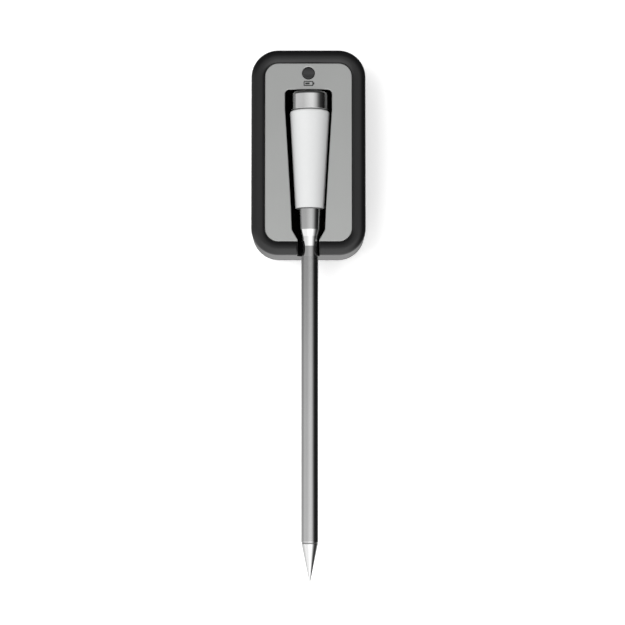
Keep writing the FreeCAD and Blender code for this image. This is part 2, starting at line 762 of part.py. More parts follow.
def make_button():
    """Side key held in by its flange, the switch it presses, the switch's dome and plunger."""
    key = new_body("pair_button")
    place(key)
    face = draw_rounded(new_sketch(key, "YZ_Plane", "dockWidth / 2"), "buttonLong", "buttonTall",
                        "buttonTall / 3", "buttonY", "buttonZ")
    pad(key, face, "sideWall + buttonGap + buttonFlange", reverse=True)
    flange = draw_rounded(new_sketch(key, "YZ_Plane", "innerX - buttonGap"),
                          "buttonLong + 2 * buttonFlange", "buttonTall + 2 * buttonFlange",
                          "buttonTall / 3", "buttonY", "buttonZ")
    pad(key, flange, "buttonFlange", reverse=True)
    back = "innerX - buttonGap - buttonFlange"
    front = f"{back} - 2 * buttonStroke - fitGap"
    base = new_body("switch_base")
    place(base)
    shape = draw_outline(new_sketch(base, lift="boardTop"), [
        (f"{front} - switchDeep", "buttonY - switchLong / 2"), (front, "buttonY - switchLong / 2"),
        (front, "buttonY + switchLong / 2"), (f"{front} - switchDeep", "buttonY + switchLong / 2")])
    pad(base, shape, "switchTall")
    well = draw_circle(new_sketch(base, "YZ_Plane", front), "buttonY", "buttonZ", "switchLong / 3")
    pocket(base, well, "switchDeep / 2")
    dome = rod("switch_dome", "switchLong / 3 - fitGap", "domeThick", "0", "0", "0")
    dome.Placement = ACROSS
    place(dome, f"{front} - switchDeep / 2 + fitGap", "buttonY", "buttonZ")
    keep(dome)
    plunger = rod("switch_plunger", "switchLong / 5",
                  f"{back} - ({front}) + switchDeep / 2 - domeThick - buttonStroke - 3 * fitGap",
                  "0", "0", "0")
    plunger.Placement = ACROSS
    place(plunger, f"{front} - switchDeep / 2 + domeThick + buttonStroke + 2 * fitGap", "buttonY", "buttonZ")
    keep(plunger)


def make_radio():
    """Shielded radio module at the board's near right corner."""
    keep(block("radio_module", ("moduleWide", "moduleLong", "moduleTall"),
               ("innerX - boardEdge - moduleWide - seatGap", "-moduleLong", "boardTop")))


# ---------------------------------------------------------------- probe

def make_tube():
    """Thin steel shank between the ferrule's neck and the point."""
    turned("probe_tube", [
        ("tubeBore", "neckEnd"), ("shankRadius", "neckEnd"), ("shankRadius", "shankEnd"),
        ("tubeBore", "shankEnd")])


def make_tip():
    """Solid conical point with its spigot inside the shank."""
    spigot = "tubeBore - fitGap"
    turned("probe_tip", [
        ("0", "shankEnd - spigotLong"), (spigot, "shankEnd - spigotLong"), (spigot, "shankEnd"),
        ("shankRadius", "shankEnd"), ("tipPoint", "tipEnd - tipPoint / 2"), ("tipPoint / 2", "tipEnd"),
        ("0", "tipEnd")])


def make_ferrule():
    """Polished collar: socket in the sleeve, band, shoulder, neck cone, slim run, spigot."""
    bore = "stickWidth / 2 + seatGap"
    spigot = "tubeBore - fitGap"
    turned("ferrule", [
        (bore, "sleeveEnd - collarLong"), ("collarRadius", "sleeveEnd - collarLong"),
        ("collarRadius", "sleeveEnd + sealThick"), ("ferruleTopRadius", "sleeveEnd + sealThick"),
        ("ferruleEndRadius", "ferruleEnd"), ("neckRadius", "shoulderEnd"),
        ("shankRadius + neckTaper", "neckConeEnd"),
        ("shankRadius", "neckEnd"), (spigot, "neckEnd"), (spigot, "neckEnd + spigotLong"),
        (bore, "neckEnd + spigotLong")])


def make_sleeve():
    """White ceramic handle sleeve, rounded at the cap, tapering to the ferrule."""
    start = "capEnd + sealThick"
    bore_top = "sleeveTopRadius - sleeveWall"
    bore_end = "sleeveEndRadius - sleeveWall"
    turned("handle_sleeve", [
        (bore_top, start), ("sleeveTopRadius - sleeveRound", start),
        ("sleeveTopRadius", f"{start} + sleeveRound"), ("sleeveEndRadius", "sleeveEnd"),
        (bore_end, "sleeveEnd"), (bore_end, "sleeveEnd - collarLong - restLong"),
        (bore_top, "capEnd + plugLong + restLong")])


def make_cap():
    """Polished end cap, rounded on top, with its plug inside the sleeve."""
    turned("end_cap", [
        ("0", "0"), ("capRadius - capRound", "0"), ("capRadius", "capRound"), ("capRadius", "capEnd"),
        ("plugRadius", "capEnd"), ("plugRadius", "capEnd + plugLong"), ("0", "capEnd + plugLong")])


def make_seals():
    """Flat seals at both ends of the sleeve, set slightly below its surface."""
    turned("cap_seal", [
        ("plugRadius + fitGap", "capEnd"), ("sleeveTopRadius - sleeveRound - fitGap", "capEnd"),
        ("sleeveTopRadius - sleeveRound - fitGap", "capEnd + sealThick"),
        ("plugRadius + fitGap", "capEnd + sealThick")])
    turned("ferrule_seal", [
        ("collarRadius + fitGap", "sleeveEnd"), ("ferruleTopRadius - sealInset", "sleeveEnd"),
        ("ferruleTopRadius - sealInset", "sleeveEnd + sealThick"),
        ("collarRadius + fitGap", "sleeveEnd + sealThick")])


def make_stick():
    """Slim probe board, the pin that ties it to the cap, and its antenna coil."""
    board = new_body("probe_board")
    outline = draw_outline(new_sketch(board), [
        ("-stickWidth / 2", "-stickThick / 2"), ("stickWidth / 2", "-stickThick / 2"),
        ("stickWidth / 2", "stickThick / 2"), ("-stickWidth / 2", "stickThick / 2")])
    pad(board, outline, "stickEnd - stickStart")
    place_on_probe(board, "stickStart")
    turned("cap_pin", [("0", "capEnd + plugLong"), ("leadRadius * 2", "capEnd + plugLong"),
                       ("leadRadius * 2", "stickStart"), ("0", "stickStart")])


def make_coil():
    """Antenna wound round the probe board inside the sleeve."""
    helix = doc.addObject("Part::Helix", "antenna_line")
    bind(helix, "Radius", "coilRadius")
    bind(helix, "Height", "5 * coilPitch")
    bind(helix, "Pitch", "coilPitch")
    section = doc.addObject("Part::Circle", "antenna_wire")
    bind(section, "Radius", "coilWire")
    section.Placement = FreeCAD.Placement(FreeCAD.Vector(mm("coilRadius"), 0, 0),
                                          FreeCAD.Rotation(FreeCAD.Vector(1, 0, 0), 90))
    bind(section, "Placement.Base.x", "coilRadius")
    coil = doc.addObject("Part::Sweep", "antenna_coil")
    coil.Label = "antenna_coil"
    coil.Sections = [section]
    coil.Spine = (helix, ["Edge1"])
    coil.Solid = True
    coil.Frenet = True
    place_on_probe(coil, "stickStart + coilPitch")
    keep(coil)


def make_pin_cell():
    """Slim rechargeable cell in the shank, just below the probe board."""
    start = "stickEnd + fitGap"
    turned("probe_cell", [("0", start), ("pinCellRadius", start),
                          ("pinCellRadius", f"{start} + pinCellLong"), ("0", f"{start} + pinCellLong")])


def make_sensors():
    """Meat sensor near the point with its lead past the cell, and the air sensor in the sleeve."""
    bead_start = "shankEnd - spigotLong - fitGap - beadLong"
    lead_x = "pinCellRadius + leadRadius + fitGap"
    lead = rod("sensor_lead", "leadRadius", f"{bead_start} - (stickEnd)", "0", "0", "0")
    place_on_probe(keep(lead), "stickEnd", lead_x)
    bead = rod("tip_sensor", "beadRadius", "beadLong", "0", "0", "0")
    place_on_probe(keep(bead), bead_start, "pinCellRadius - beadRadius / 2")
    air = rod("air_sensor", "beadRadius", "beadLong", "0", "0", "0")
    place_on_probe(keep(air), "stickStart + coilPitch", "0", "stickThick / 2 + beadRadius")


def build():
    make_housing()
    make_rear_cover()
    make_gasket()
    make_face_plate()
    make_cradle()
    make_rest_pads()
    make_feet()
    make_screws("case_screws", "screwX", "screwY", "footSeat", "screwHead", "screwHeadRadius",
                "screwRadius", "screwLong")
    make_screws("board_screws", "boardBossX", "boardBossY", "boardUnder - boardScrewHead",
                "boardScrewHead", "boardScrewHeadRadius", "boardScrewRadius", "boardScrewLong")
    make_board()
    make_cell()
    make_usb()
    make_contact("cap_contact", "capContactY", "capFloor", "axisHeight - capRadius - fitGap")
    make_contact("ferrule_contact", "ferruleContactY", "ferruleFloor",
                 "axisHeight - ferruleTopRadius - fitGap")
    make_magnets()
    make_lamp()
    make_button()
    make_radio()
    make_tube()
    make_tip()
    make_ferrule()
    make_sleeve()
    make_cap()
    make_seals()
    make_stick()
    make_coil()
    make_pin_cell()
    make_sensors()


def write():
    """Check every object and every part, then write one STEP file for each part."""
    doc.recompute()
    for item in doc.Objects:
        if "Invalid" in item.State or "Error" in item.State:
            raise RuntimeError(f"{item.Label} failed: {item.State}")
    for part in PARTS:
        if part.Shape.isNull() or not part.Shape.isValid() or not part.Shape.Solids:
            raise RuntimeError(f"{part.Label} has no valid shape")
    os.makedirs("parts", exist_ok=True)
    for part in PARTS:
        part.Shape.exportStep(f"parts/{part.Label}.step")
    print(f"{len(PARTS)} parts written")


build()
write()
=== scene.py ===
import json
import math
import bmesh
import bpy
import numpy as np
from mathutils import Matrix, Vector, geometry


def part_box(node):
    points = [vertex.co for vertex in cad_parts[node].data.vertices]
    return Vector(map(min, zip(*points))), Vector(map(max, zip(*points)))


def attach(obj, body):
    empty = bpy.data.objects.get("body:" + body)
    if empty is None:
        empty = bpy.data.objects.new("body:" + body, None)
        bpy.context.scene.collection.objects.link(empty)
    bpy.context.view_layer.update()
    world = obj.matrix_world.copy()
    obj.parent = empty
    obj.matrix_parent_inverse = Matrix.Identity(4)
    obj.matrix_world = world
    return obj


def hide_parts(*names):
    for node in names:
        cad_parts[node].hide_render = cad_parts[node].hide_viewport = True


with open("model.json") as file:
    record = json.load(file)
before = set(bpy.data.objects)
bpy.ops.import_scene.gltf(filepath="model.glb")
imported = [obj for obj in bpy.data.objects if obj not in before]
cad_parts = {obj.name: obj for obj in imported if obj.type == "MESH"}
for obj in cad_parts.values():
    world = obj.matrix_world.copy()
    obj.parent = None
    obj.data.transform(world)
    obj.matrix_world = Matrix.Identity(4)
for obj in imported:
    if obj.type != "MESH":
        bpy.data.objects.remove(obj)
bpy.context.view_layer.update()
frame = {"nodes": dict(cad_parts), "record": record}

mm = 0.001
print("frame loaded:", len(frame["nodes"]), "nodes")

# the camera looks almost straight down, leaning a little towards the probe's point
cameraSizes = {
    "target": (0.0012, -0.0474, 0.013),
    "tilt": math.radians(3.82),
    "distance": 0.6,
    "lens": 116.0,           # mm
    "sensor": 36.0,          # mm
    "nearest": 0.01,
    "farthest": 20.0,
}


# stands back from the target along a line tilted from straight up
def makeCamera(sizes):
    data = bpy.data.cameras.new("camera")
    data.lens = sizes["lens"]
    data.sensor_width = sizes["sensor"]
    data.clip_start = sizes["nearest"]
    data.clip_end = sizes["farthest"]
    camera = bpy.data.objects.new("camera", data)
    bpy.context.scene.collection.objects.link(camera)
    tilt = sizes["tilt"]
    back = Vector((0.0, -math.sin(tilt), math.cos(tilt)))
    camera.location = Vector(sizes["target"]) + sizes["distance"] * back
    camera.rotation_euler = (tilt, 0.0, 0.0)
    bpy.context.scene.camera = camera


# soft boxes; the polished metal takes its stripes from the studio's walls alone
lightSizes = {
    "key": {"place": (-0.45, 0.0, 0.8), "size": 0.6, "watts": 4.0},
    "near": {"place": (-0.1, -0.75, 0.6), "size": 0.6, "watts": 1.5},
}
lightAim = Vector((0.0, -0.03, 0.01))


# a square soft box turned to face the aim, left out of reflections
def makeLight(name, place, size, watts):
    data = bpy.data.lights.new(name, "AREA")
    data.shape = "SQUARE"
    data.size = size
    data.energy = watts
    light = bpy.data.objects.new(name, data)
    bpy.context.scene.collection.objects.link(light)
    light.location = place
    light.rotation_euler = (lightAim - Vector(place)).to_track_quat("-Z", "Y").to_euler()
    light.visible_glossy = False


# brightness of the studio's walls by direction: (direction's part along the axis, share)
worldSizes = {
    "paper": 0.93,       # behind the floor
    "room": 0.8,         # the even light that fills the shadows
    "walls": 1.7,        # the brightest wall, as the metal mirrors it
    "under": 0.7,        # share of the light that comes back from below
    "underBlend": 0.1,   # half the band about the horizon where that share fades in
    "acrossStops": [(-1.0, 0.75), (-0.6, 0.72), (-0.39, 0.82), (-0.16, 0.92), (0.07, 1.0),
                    (0.33, 0.98), (0.6, 0.62), (0.77, 0.2), (0.88, 0.05), (1.0, 0.01)],
    "alongStops": [(-1.0, 1.0), (-0.2, 0.95), (-0.1, 0.55), (0.023, 0.44), (0.073, 0.32),
                   (0.1, 0.21), (0.12, 0.24), (0.16, 0.56), (0.21, 0.58), (0.32, 0.12), (1.0, 0.02)],
}


# a chain of straight runs between stops, each stop a direction's part from -1 to 1
def wallRamp(nodes, links, part, stops):
    share = nodes.new("ShaderNodeMapRange")
    share.inputs["From Min"].default_value = -1.0
    links.new(part, share.inputs["Value"])
    ramp = nodes.new("ShaderNodeValToRGB")
    elements = ramp.color_ramp.elements
    while len(elements) < len(stops):
        elements.new(0.5)
    for element, (place, value) in zip(elements, stops):
        element.position = (place + 1.0) / 2
        element.color = (value, value, value, 1.0)
    links.new(share.outputs[0], ramp.inputs[0])
    return ramp.outputs[0]


# the product of a socket and a second socket or a plain number
def multiply(nodes, links, a, b):
    product = nodes.new("ShaderNodeMath")
    product.operation = "MULTIPLY"
    links.new(a, product.inputs[0])
    if isinstance(b, float):
        product.inputs[1].default_value = b
    else:
        links.new(b, product.inputs[1])
    return product.outputs[0]


# off where the switch is 0, on where it is 1; each is a socket or a plain number
def chooseBy(nodes, links, switch, off, on):
    mix = nodes.new("ShaderNodeMix")
    mix.data_type = "FLOAT"
    links.new(switch, mix.inputs[0])
    for socket, value in ((mix.inputs[2], off), (mix.inputs[3], on)):
        if isinstance(value, float):
            socket.default_value = value
        else:
            links.new(value, socket)
    return mix.outputs[0]


# walls = across share * along share * share from below; polished pieces mirror them, while the
# camera sees plain paper and every other ray an even room
def makeWorld(sizes):
    world = bpy.data.worlds.new("studio")
    world.use_nodes = True
    bpy.context.scene.world = world
    nodes = world.node_tree.nodes
    links = world.node_tree.links
    nodes.clear()
    coords = nodes.new("ShaderNodeTexCoord")
    parts = nodes.new("ShaderNodeSeparateXYZ")
    links.new(coords.outputs["Generated"], parts.inputs[0])
    across = wallRamp(nodes, links, parts.outputs["X"], sizes["acrossStops"])
    along = wallRamp(nodes, links, parts.outputs["Y"], sizes["alongStops"])
    under = nodes.new("ShaderNodeMapRange")
    under.inputs["From Min"].default_value = -sizes["underBlend"]
    under.inputs["From Max"].default_value = sizes["underBlend"]
    under.inputs["To Min"].default_value = sizes["under"]
    links.new(parts.outputs["Z"], under.inputs["Value"])
    walls = multiply(nodes, links, multiply(nodes, links, across, along), under.outputs[0])
    walls = multiply(nodes, links, walls, sizes["walls"])
    ray = nodes.new("ShaderNodeLightPath")
    light = chooseBy(nodes, links, ray.outputs["Is Glossy Ray"], sizes["room"], walls)
    seen = chooseBy(nodes, links, ray.outputs["Is Camera Ray"], light, sizes["paper"])
    background = nodes.new("ShaderNodeBackground")
    output = nodes.new("ShaderNodeOutputWorld")
    links.new(seen, background.inputs["Color"])
    links.new(background.outputs[0], output.inputs[0])


floorSizes = {
    "half": 3.0,
    "white": 0.93,
    "roughness": 0.9,
    "specular": 0.1,
    "glow": 0.3,             # light of its own, so that the paper stays even and bright
}


# white paper, left out of reflections so that the studio's walls alone draw them
def makeFloor(sizes):
    mesh = bpy.data.meshes.new("floor")
    half, white = sizes["half"], sizes["white"]
    mesh.from_pydata([(-half, -half, 0), (half, -half, 0), (half, half, 0), (-half, half, 0)],
                     [], [(0, 1, 2, 3)])
    floor = bpy.data.objects.new("floor", mesh)
    bpy.context.scene.collection.objects.link(floor)
    paper = bpy.data.materials.new("paperWhite")
    paper.use_nodes = True
    shader = paper.node_tree.nodes["Principled BSDF"]
    shader.inputs["Base Color"].default_value = (white, white, white, 1.0)
    shader.inputs["Roughness"].default_value = sizes["roughness"]
    shader.inputs["Specular IOR Level"].default_value = sizes["specular"]
    shader.inputs["Emission Color"].default_value = (1.0, 1.0, 1.0, 1.0)
    shader.inputs["Emission Strength"].default_value = sizes["glow"]
    mesh.materials.append(paper)
    floor.visible_glossy = False


makeCamera(cameraSizes)
for lightName, lightSize in lightSizes.items():
    makeLight(lightName, lightSize["place"], lightSize["size"], lightSize["watts"])
makeWorld(worldSizes)
makeFloor(floorSizes)
bpy.context.scene.view_settings.view_transform = "Standard"
print("camera, light and floor made")


# a material on the plain shader, with its nodes and links at hand
def startMaterial(name, color, roughness, metallic=0.0):
    material = bpy.data.materials.new(name)
    material.use_nodes = True
    shader = material.node_tree.nodes["Principled BSDF"]
    shader.inputs["Base Color"].default_value = (*color, 1.0)
    shader.inputs["Roughness"].default_value = roughness
    shader.inputs["Metallic"].default_value = metallic
    return material, material.node_tree.nodes, material.node_tree.links, shader


# places on the piece in metres, stretched by the scale
def objectCoords(nodes, links, scale=(1.0, 1.0, 1.0)):
    coords = nodes.new("ShaderNodeTexCoord")
    mapping = nodes.new("ShaderNodeMapping")
    mapping.inputs["Scale"].default_value = scale
    links.new(coords.outputs["Object"], mapping.inputs["Vector"])
    return mapping.outputs[0]


def noiseOn(nodes, links, vector, scale, detail=3.0, roughness=0.5):
    noise = nodes.new("ShaderNodeTexNoise")
    noise.inputs["Scale"].default_value = scale
    noise.inputs["Detail"].default_value = detail
    noise.inputs["Roughness"].default_value = roughness
    links.new(vector, noise.inputs["Vector"])
    return noise.outputs["Fac"]


# carries a pattern's usual range, fromLow to fromHigh, over to low to high
def spread(nodes, links, value, low, high, fromLow=0.3, fromHigh=0.7):
    remap = nodes.new("ShaderNodeMapRange")
    remap.inputs["From Min"].default_value = fromLow
    remap.inputs["From Max"].default_value = fromHigh
    remap.inputs["To Min"].default_value = low
    remap.inputs["To Max"].default_value = high
    links.new(value, remap.inputs["Value"])
    return remap.outputs[0]


def blendColors(nodes, links, value, low, high):
    mix = nodes.new("ShaderNodeMix")
    mix.data_type = "RGBA"
    mix.inputs[6].default_value = (*low, 1.0)
    mix.inputs[7].default_value = (*high, 1.0)
    links.new(value, mix.inputs[0])
    return mix.outputs[2]


def addBump(nodes, links, shader, height, strength, distance):
    bump = nodes.new("ShaderNodeBump")
    bump.inputs["Strength"].default_value = strength
    bump.inputs["Distance"].default_value = distance
    links.new(height, bump.inputs["Height"])
    links.new(bump.outputs[0], shader.inputs["Normal"])


plasticFinish = {"driftScale": 45.0, "grainDepth": 0.02 * mm}


# moulded plastic: fine spark grain in the bump, slow drifts in colour and gloss
def plastic(name, dark, light, roughLow, roughHigh, grain, bump):
    material, nodes, links, shader = startMaterial(name, dark, roughLow)
    vector = objectCoords(nodes, links)
    slow = noiseOn(nodes, links, vector, plasticFinish["driftScale"], 4.0)
    fine = noiseOn(nodes, links, vector, grain, 2.0)
    links.new(blendColors(nodes, links, slow, dark, light), shader.inputs["Base Color"])
    links.new(spread(nodes, links, slow, roughLow, roughHigh), shader.inputs["Roughness"])
    addBump(nodes, links, shader, fine, bump, plasticFinish["grainDepth"])
    return material


metalFinish = {"driftScale": 60.0, "darker": 0.93, "lineDepth": 0.01 * mm}


# metal: noise stretched along one way drives the gloss and a very low bump
def metal(name, color, roughLow, roughHigh, stretch, grain, bump):
    material, nodes, links, shader = startMaterial(name, color, roughLow, 1.0)
    lines = noiseOn(nodes, links, objectCoords(nodes, links, stretch), grain, 4.0, 0.6)
    slow = noiseOn(nodes, links, objectCoords(nodes, links), metalFinish["driftScale"], 3.0)
    darker = tuple(metalFinish["darker"] * c for c in color)
    links.new(blendColors(nodes, links, slow, darker, color), shader.inputs["Base Color"])
    links.new(spread(nodes, links, lines, roughLow, roughHigh), shader.inputs["Roughness"])
    addBump(nodes, links, shader, lines, bump, metalFinish["lineDepth"])
    return material


ceramicFinish = {
    "speckleScale": 900.0,
    "speckle": 0.97,         # the speckle's share of the white
    "peelScale": 350.0,
    "peelBump": 0.05,
    "peelDepth": 0.02 * mm,
    "roughness": (0.36, 0.46),
    "coat": 0.2,
    "coatRoughness": 0.2,
    "glow": 0.05,            # share of light that spreads under the glaze
    "glowReach": 2.0 * mm,
}


# matt-glazed ceramic: white body, soft coat, faint speckle and very fine orange peel
def ceramic(name, color):
    material, nodes, links, shader = startMaterial(name, color, 0.4)
    vector = objectCoords(nodes, links)
    finish = ceramicFinish
    speckle = noiseOn(nodes, links, vector, finish["speckleScale"], 2.0)
    peel = noiseOn(nodes, links, vector, finish["peelScale"], 3.0)
    darker = tuple(finish["speckle"] * c for c in color)
    links.new(blendColors(nodes, links, speckle, darker, color), shader.inputs["Base Color"])
    links.new(spread(nodes, links, peel, *finish["roughness"]), shader.inputs["Roughness"])
    shader.inputs["Coat Weight"].default_value = finish["coat"]
    shader.inputs["Coat Roughness"].default_value = finish["coatRoughness"]
    shader.inputs["Subsurface Weight"].default_value = finish["glow"]
    shader.inputs["Subsurface Radius"].default_value = [finish["glowReach"]] * 3
    addBump(nodes, links, shader, peel, finish["peelBump"], finish["peelDepth"])
    return material


rubberFinish = {"bloomScale": 250.0, "grainScale": 2500.0, "grainBump": 0.3, "grainDepth": 0.03 * mm,
                "roughness": (0.62, 0.8)}


# soft matt rubber with a dusty bloom and a fine open grain
def rubber(name, dark, light):
    material, nodes, links, shader = startMaterial(name, dark, 0.7)
    vector = objectCoords(nodes, links)
    finish = rubberFinish
    bloom = noiseOn(nodes, links, vector, finish["bloomScale"], 5.0)
    grain = noiseOn(nodes, links, vector, finish["grainScale"], 2.0)
    links.new(blendColors(nodes, links, bloom, dark, light), shader.inputs["Base Color"])
    links.new(spread(nodes, links, bloom, *finish["roughness"]), shader.inputs["Roughness"])
    addBump(nodes, links, shader, grain, finish["grainBump"], finish["grainDepth"])
    return material


boardFinish = {
    "mask": (0.008, 0.09, 0.035, 1.0),
    "maskLight": (0.012, 0.12, 0.05, 1.0),
    "track": (0.03, 0.22, 0.1, 1.0),
    "trackScale": 420.0,
    "trackShare": 0.06,      # width of a track against its cell
    "trackBump": 0.4,
    "trackDepth": 0.02 * mm,
}


# green solder mask over a grid of copper tracks that show as lighter, raised lines
def circuitBoard(name):
    material, nodes, links, shader = startMaterial(name, (0.01, 0.12, 0.05), 0.35)
    finish = boardFinish
    bricks = nodes.new("ShaderNodeTexBrick")
    bricks.inputs["Scale"].default_value = finish["trackScale"]
    bricks.inputs["Mortar Size"].default_value = finish["trackShare"]
    bricks.inputs["Color1"].default_value = finish["mask"]
    bricks.inputs["Color2"].default_value = finish["maskLight"]
    bricks.inputs["Mortar"].default_value = finish["track"]
    links.new(objectCoords(nodes, links), bricks.inputs["Vector"])
    links.new(bricks.outputs["Color"], shader.inputs["Base Color"])
    addBump(nodes, links, shader, bricks.outputs["Fac"], finish["trackBump"], finish["trackDepth"])
    return material


lensFinish = {"ringScale": 500.0, "ringLight": 1.6, "coat": 0.5, "coatRoughness": 0.05}


# clear moulding under a gloss coat, with the faint rings of its light-spreading back
def clearLens(name, color, rough):
    material, nodes, links, shader = startMaterial(name, color, rough)
    rings = nodes.new("ShaderNodeTexWave")
    rings.wave_type = "RINGS"
    rings.rings_direction = "Z"
    rings.inputs["Scale"].default_value = lensFinish["ringScale"]
    links.new(objectCoords(nodes, links), rings.inputs["Vector"])
    shader.inputs["Coat Weight"].default_value = lensFinish["coat"]
    shader.inputs["Coat Roughness"].default_value = lensFinish["coatRoughness"]
    lighter = tuple(min(1.0, lensFinish["ringLight"] * c) for c in color)
    ringColor = blendColors(nodes, links, rings.outputs["Fac"], color, lighter)
    links.new(ringColor, shader.inputs["Base Color"])
    return material


foilFinish = {"dimpleScale": 700.0, "dimpleBump": 0.5, "dimpleDepth": 0.08 * mm, "roughness": (0.22, 0.42)}


# pouch foil with a pressed dimple pattern
def foil(name):
    material, nodes, links, shader = startMaterial(name, (0.62, 0.62, 0.64), 0.3, 1.0)
    cells = nodes.new("ShaderNodeTexVoronoi")
    cells.inputs["Scale"].default_value = foilFinish["dimpleScale"]
    links.new(objectCoords(nodes, links), cells.inputs["Vector"])
    dimples = cells.outputs["Distance"]
    roughness = spread(nodes, links, dimples, *foilFinish["roughness"], 0.0, 0.7)
    links.new(roughness, shader.inputs["Roughness"])
    addBump(nodes, links, shader, dimples, foilFinish["dimpleBump"], foilFinish["dimpleDepth"])
    return material


even = (1.0, 1.0, 1.0)            # grain with no direction
turnedGrain = (1.0, 40.0, 1.0)    # lines that run round the probe
drawnGrain = (1.0, 0.1, 1.0)      # lines that run along Y
slotMaterials = {
    "case_black": plastic("caseBlack", (0.0045, 0.0045, 0.0048), (0.0065, 0.0065, 0.007),
                          0.3, 0.36, 1500.0, 0.1),
    "cover_black": plastic("coverBlack", (0.012, 0.012, 0.013), (0.018, 0.018, 0.019),
                           0.5, 0.62, 1100.0, 0.5),
    "key_black": plastic("keyBlack", (0.01, 0.01, 0.01), (0.016, 0.016, 0.016), 0.38, 0.46, 1500.0, 0.2),
    "liner_black": plastic("linerBlack", (0.003, 0.003, 0.003), (0.005, 0.005, 0.005),
                           0.12, 0.18, 400.0, 0.02),
    "satin_plate": metal("satinPlate", (0.61, 0.62, 0.61), 0.36, 0.42, even, 2600.0, 0.25),
    "black_rubber": rubber("blackRubber", (0.012, 0.012, 0.012), (0.022, 0.022, 0.022)),
    "grey_silicone": rubber("greySilicone", (0.12, 0.12, 0.12), (0.16, 0.16, 0.16)),
    "screw_steel": metal("screwSteel", (0.5, 0.5, 0.5), 0.25, 0.4, even, 900.0, 0.2),
    "circuit_board": circuitBoard("circuitBoard"),
    "cell_foil": foil("cellFoil"),
    "foam": rubber("foamPad", (0.08, 0.08, 0.08), (0.14, 0.14, 0.14)),
    "bright_steel": metal("brightSteel", (0.62, 0.62, 0.63), 0.16, 0.28, drawnGrain, 1500.0, 0.15),
    "black_nylon": plastic("blackNylon", (0.015, 0.015, 0.015), (0.022, 0.022, 0.022),
                           0.4, 0.5, 900.0, 0.3),
    "gold_brass": metal("goldBrass", (0.83, 0.62, 0.27), 0.15, 0.25, even, 1200.0, 0.1),
    "spring_steel": metal("springSteel", (0.55, 0.55, 0.56), 0.2, 0.3, even, 2000.0, 0.1),
    "magnet_nickel": metal("magnetNickel", (0.66, 0.65, 0.62), 0.12, 0.2, even, 700.0, 0.1),
    "clear_guide": clearLens("clearGuide", (0.006, 0.006, 0.0065), 0.2),
    "lamp_white": clearLens("lampWhite", (0.7, 0.7, 0.62), 0.2),
    "shield_steel": metal("shieldSteel", (0.6, 0.6, 0.6), 0.25, 0.38, drawnGrain, 900.0, 0.2),
    "shank_steel": metal("shankSteel", (0.74, 0.74, 0.74), 0.1, 0.15, turnedGrain, 300.0, 0.05),
    "polished_steel": metal("polishedSteel", (0.76, 0.76, 0.76), 0.06, 0.1, turnedGrain, 300.0, 0.03),
    "white_ceramic": ceramic("whiteCeramic", (0.64, 0.645, 0.645)),
    "copper_wire": metal("copperWire", (0.72, 0.36, 0.18), 0.2, 0.32, even, 900.0, 0.1),
    "sensor_glass": clearLens("sensorGlass", (0.4, 0.16, 0.08), 0.1),
}
slotOf = {part["node"]: part["material_slot"] for part in frame["record"]["subparts"]}
for nodeName, nodeObject in frame["nodes"].items():
    nodeObject.data.materials.clear()
    nodeObject.data.materials.append(slotMaterials[slotOf[nodeName]])
print("materials made:", len(slotMaterials))


# quads between neighbours of a rows x columns grid of points, as whole arrays
def gridFaces(rows, columns, closeRows=False, closeColumns=False):
    r = np.arange(rows if closeRows else rows - 1)
    c = np.arange(columns if closeColumns else columns - 1)
    r0, c0 = np.meshgrid(r, c, indexing="ij")
    r1 = (r0 + 1) % rows
    c1 = (c0 + 1) % columns
    quads = np.stack([r0 * columns + c0, r0 * columns + c1, r1 * columns + c1, r1 * columns + c0], -1)
    return quads.reshape(-1, 4)


# a polyline whose corners become arcs: each arc touches its runs at radius / tan(half the angle)
def filletPath(points, radii, steps=8, closed=False):
    points = [np.array(p, float) for p in points]
    count = len(points)
    out = []
    for i, (corner, radius) in enumerate(zip(points, radii)):
        isEnd = not closed and i in (0, count - 1)
        if isEnd or radius <= 0:
            out.append(corner)
            continue
        back = points[i - 1] - corner
        ahead = points[(i + 1) % count] - corner
        back, ahead = back / np.linalg.norm(back), ahead / np.linalg.norm(ahead)
        half = math.acos(max(-1.0, min(1.0, float(back @ ahead)))) / 2
        middle = (back + ahead) / np.linalg.norm(back + ahead)
        centre = corner + middle * radius / math.sin(half)
        start = corner + back * radius / math.tan(half) - centre
        end = corner + ahead * radius / math.tan(half) - centre
        turn = math.atan2(start[0] * end[1] - start[1] * end[0], start @ end)
        angles = np.linspace(0.0, turn, steps + 1)[:, None]
        side = np.array([-start[1], start[0]])
        out.extend(centre + np.cos(angles) * start + np.sin(angles) * side)
    return np.array(out)


mergeWithin = 2e-7       # metres, for points of poles and seams
dropBelow = 1e-7         # metres, for edges too short to keep


# makes the mesh, closes its poles and seams, turns its faces outward and hands it to its body
def finishPiece(name, points, faces, body, slot, replaced=(), sharp=35.0):
    mesh = bpy.data.meshes.new(name)
    mesh.from_pydata(np.asarray(points, float).tolist(), [], [list(map(int, f)) for f in faces])
    shape = bmesh.new()
    shape.from_mesh(mesh)
    bmesh.ops.remove_doubles(shape, verts=shape.verts, dist=mergeWithin)
    bmesh.ops.dissolve_degenerate(shape, edges=shape.edges, dist=dropBelow)
    bmesh.ops.recalc_face_normals(shape, faces=shape.faces)
    shape.to_mesh(mesh)
    shape.free()
    mesh.shade_smooth()
    mesh.set_sharp_from_angle(angle=math.radians(sharp))
    mesh.materials.append(slotMaterials[slot])
    piece = bpy.data.objects.new(name, mesh)
    bpy.context.scene.collection.objects.link(piece)
    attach(piece, body)
    if replaced:
        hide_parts(*replaced)
    return piece


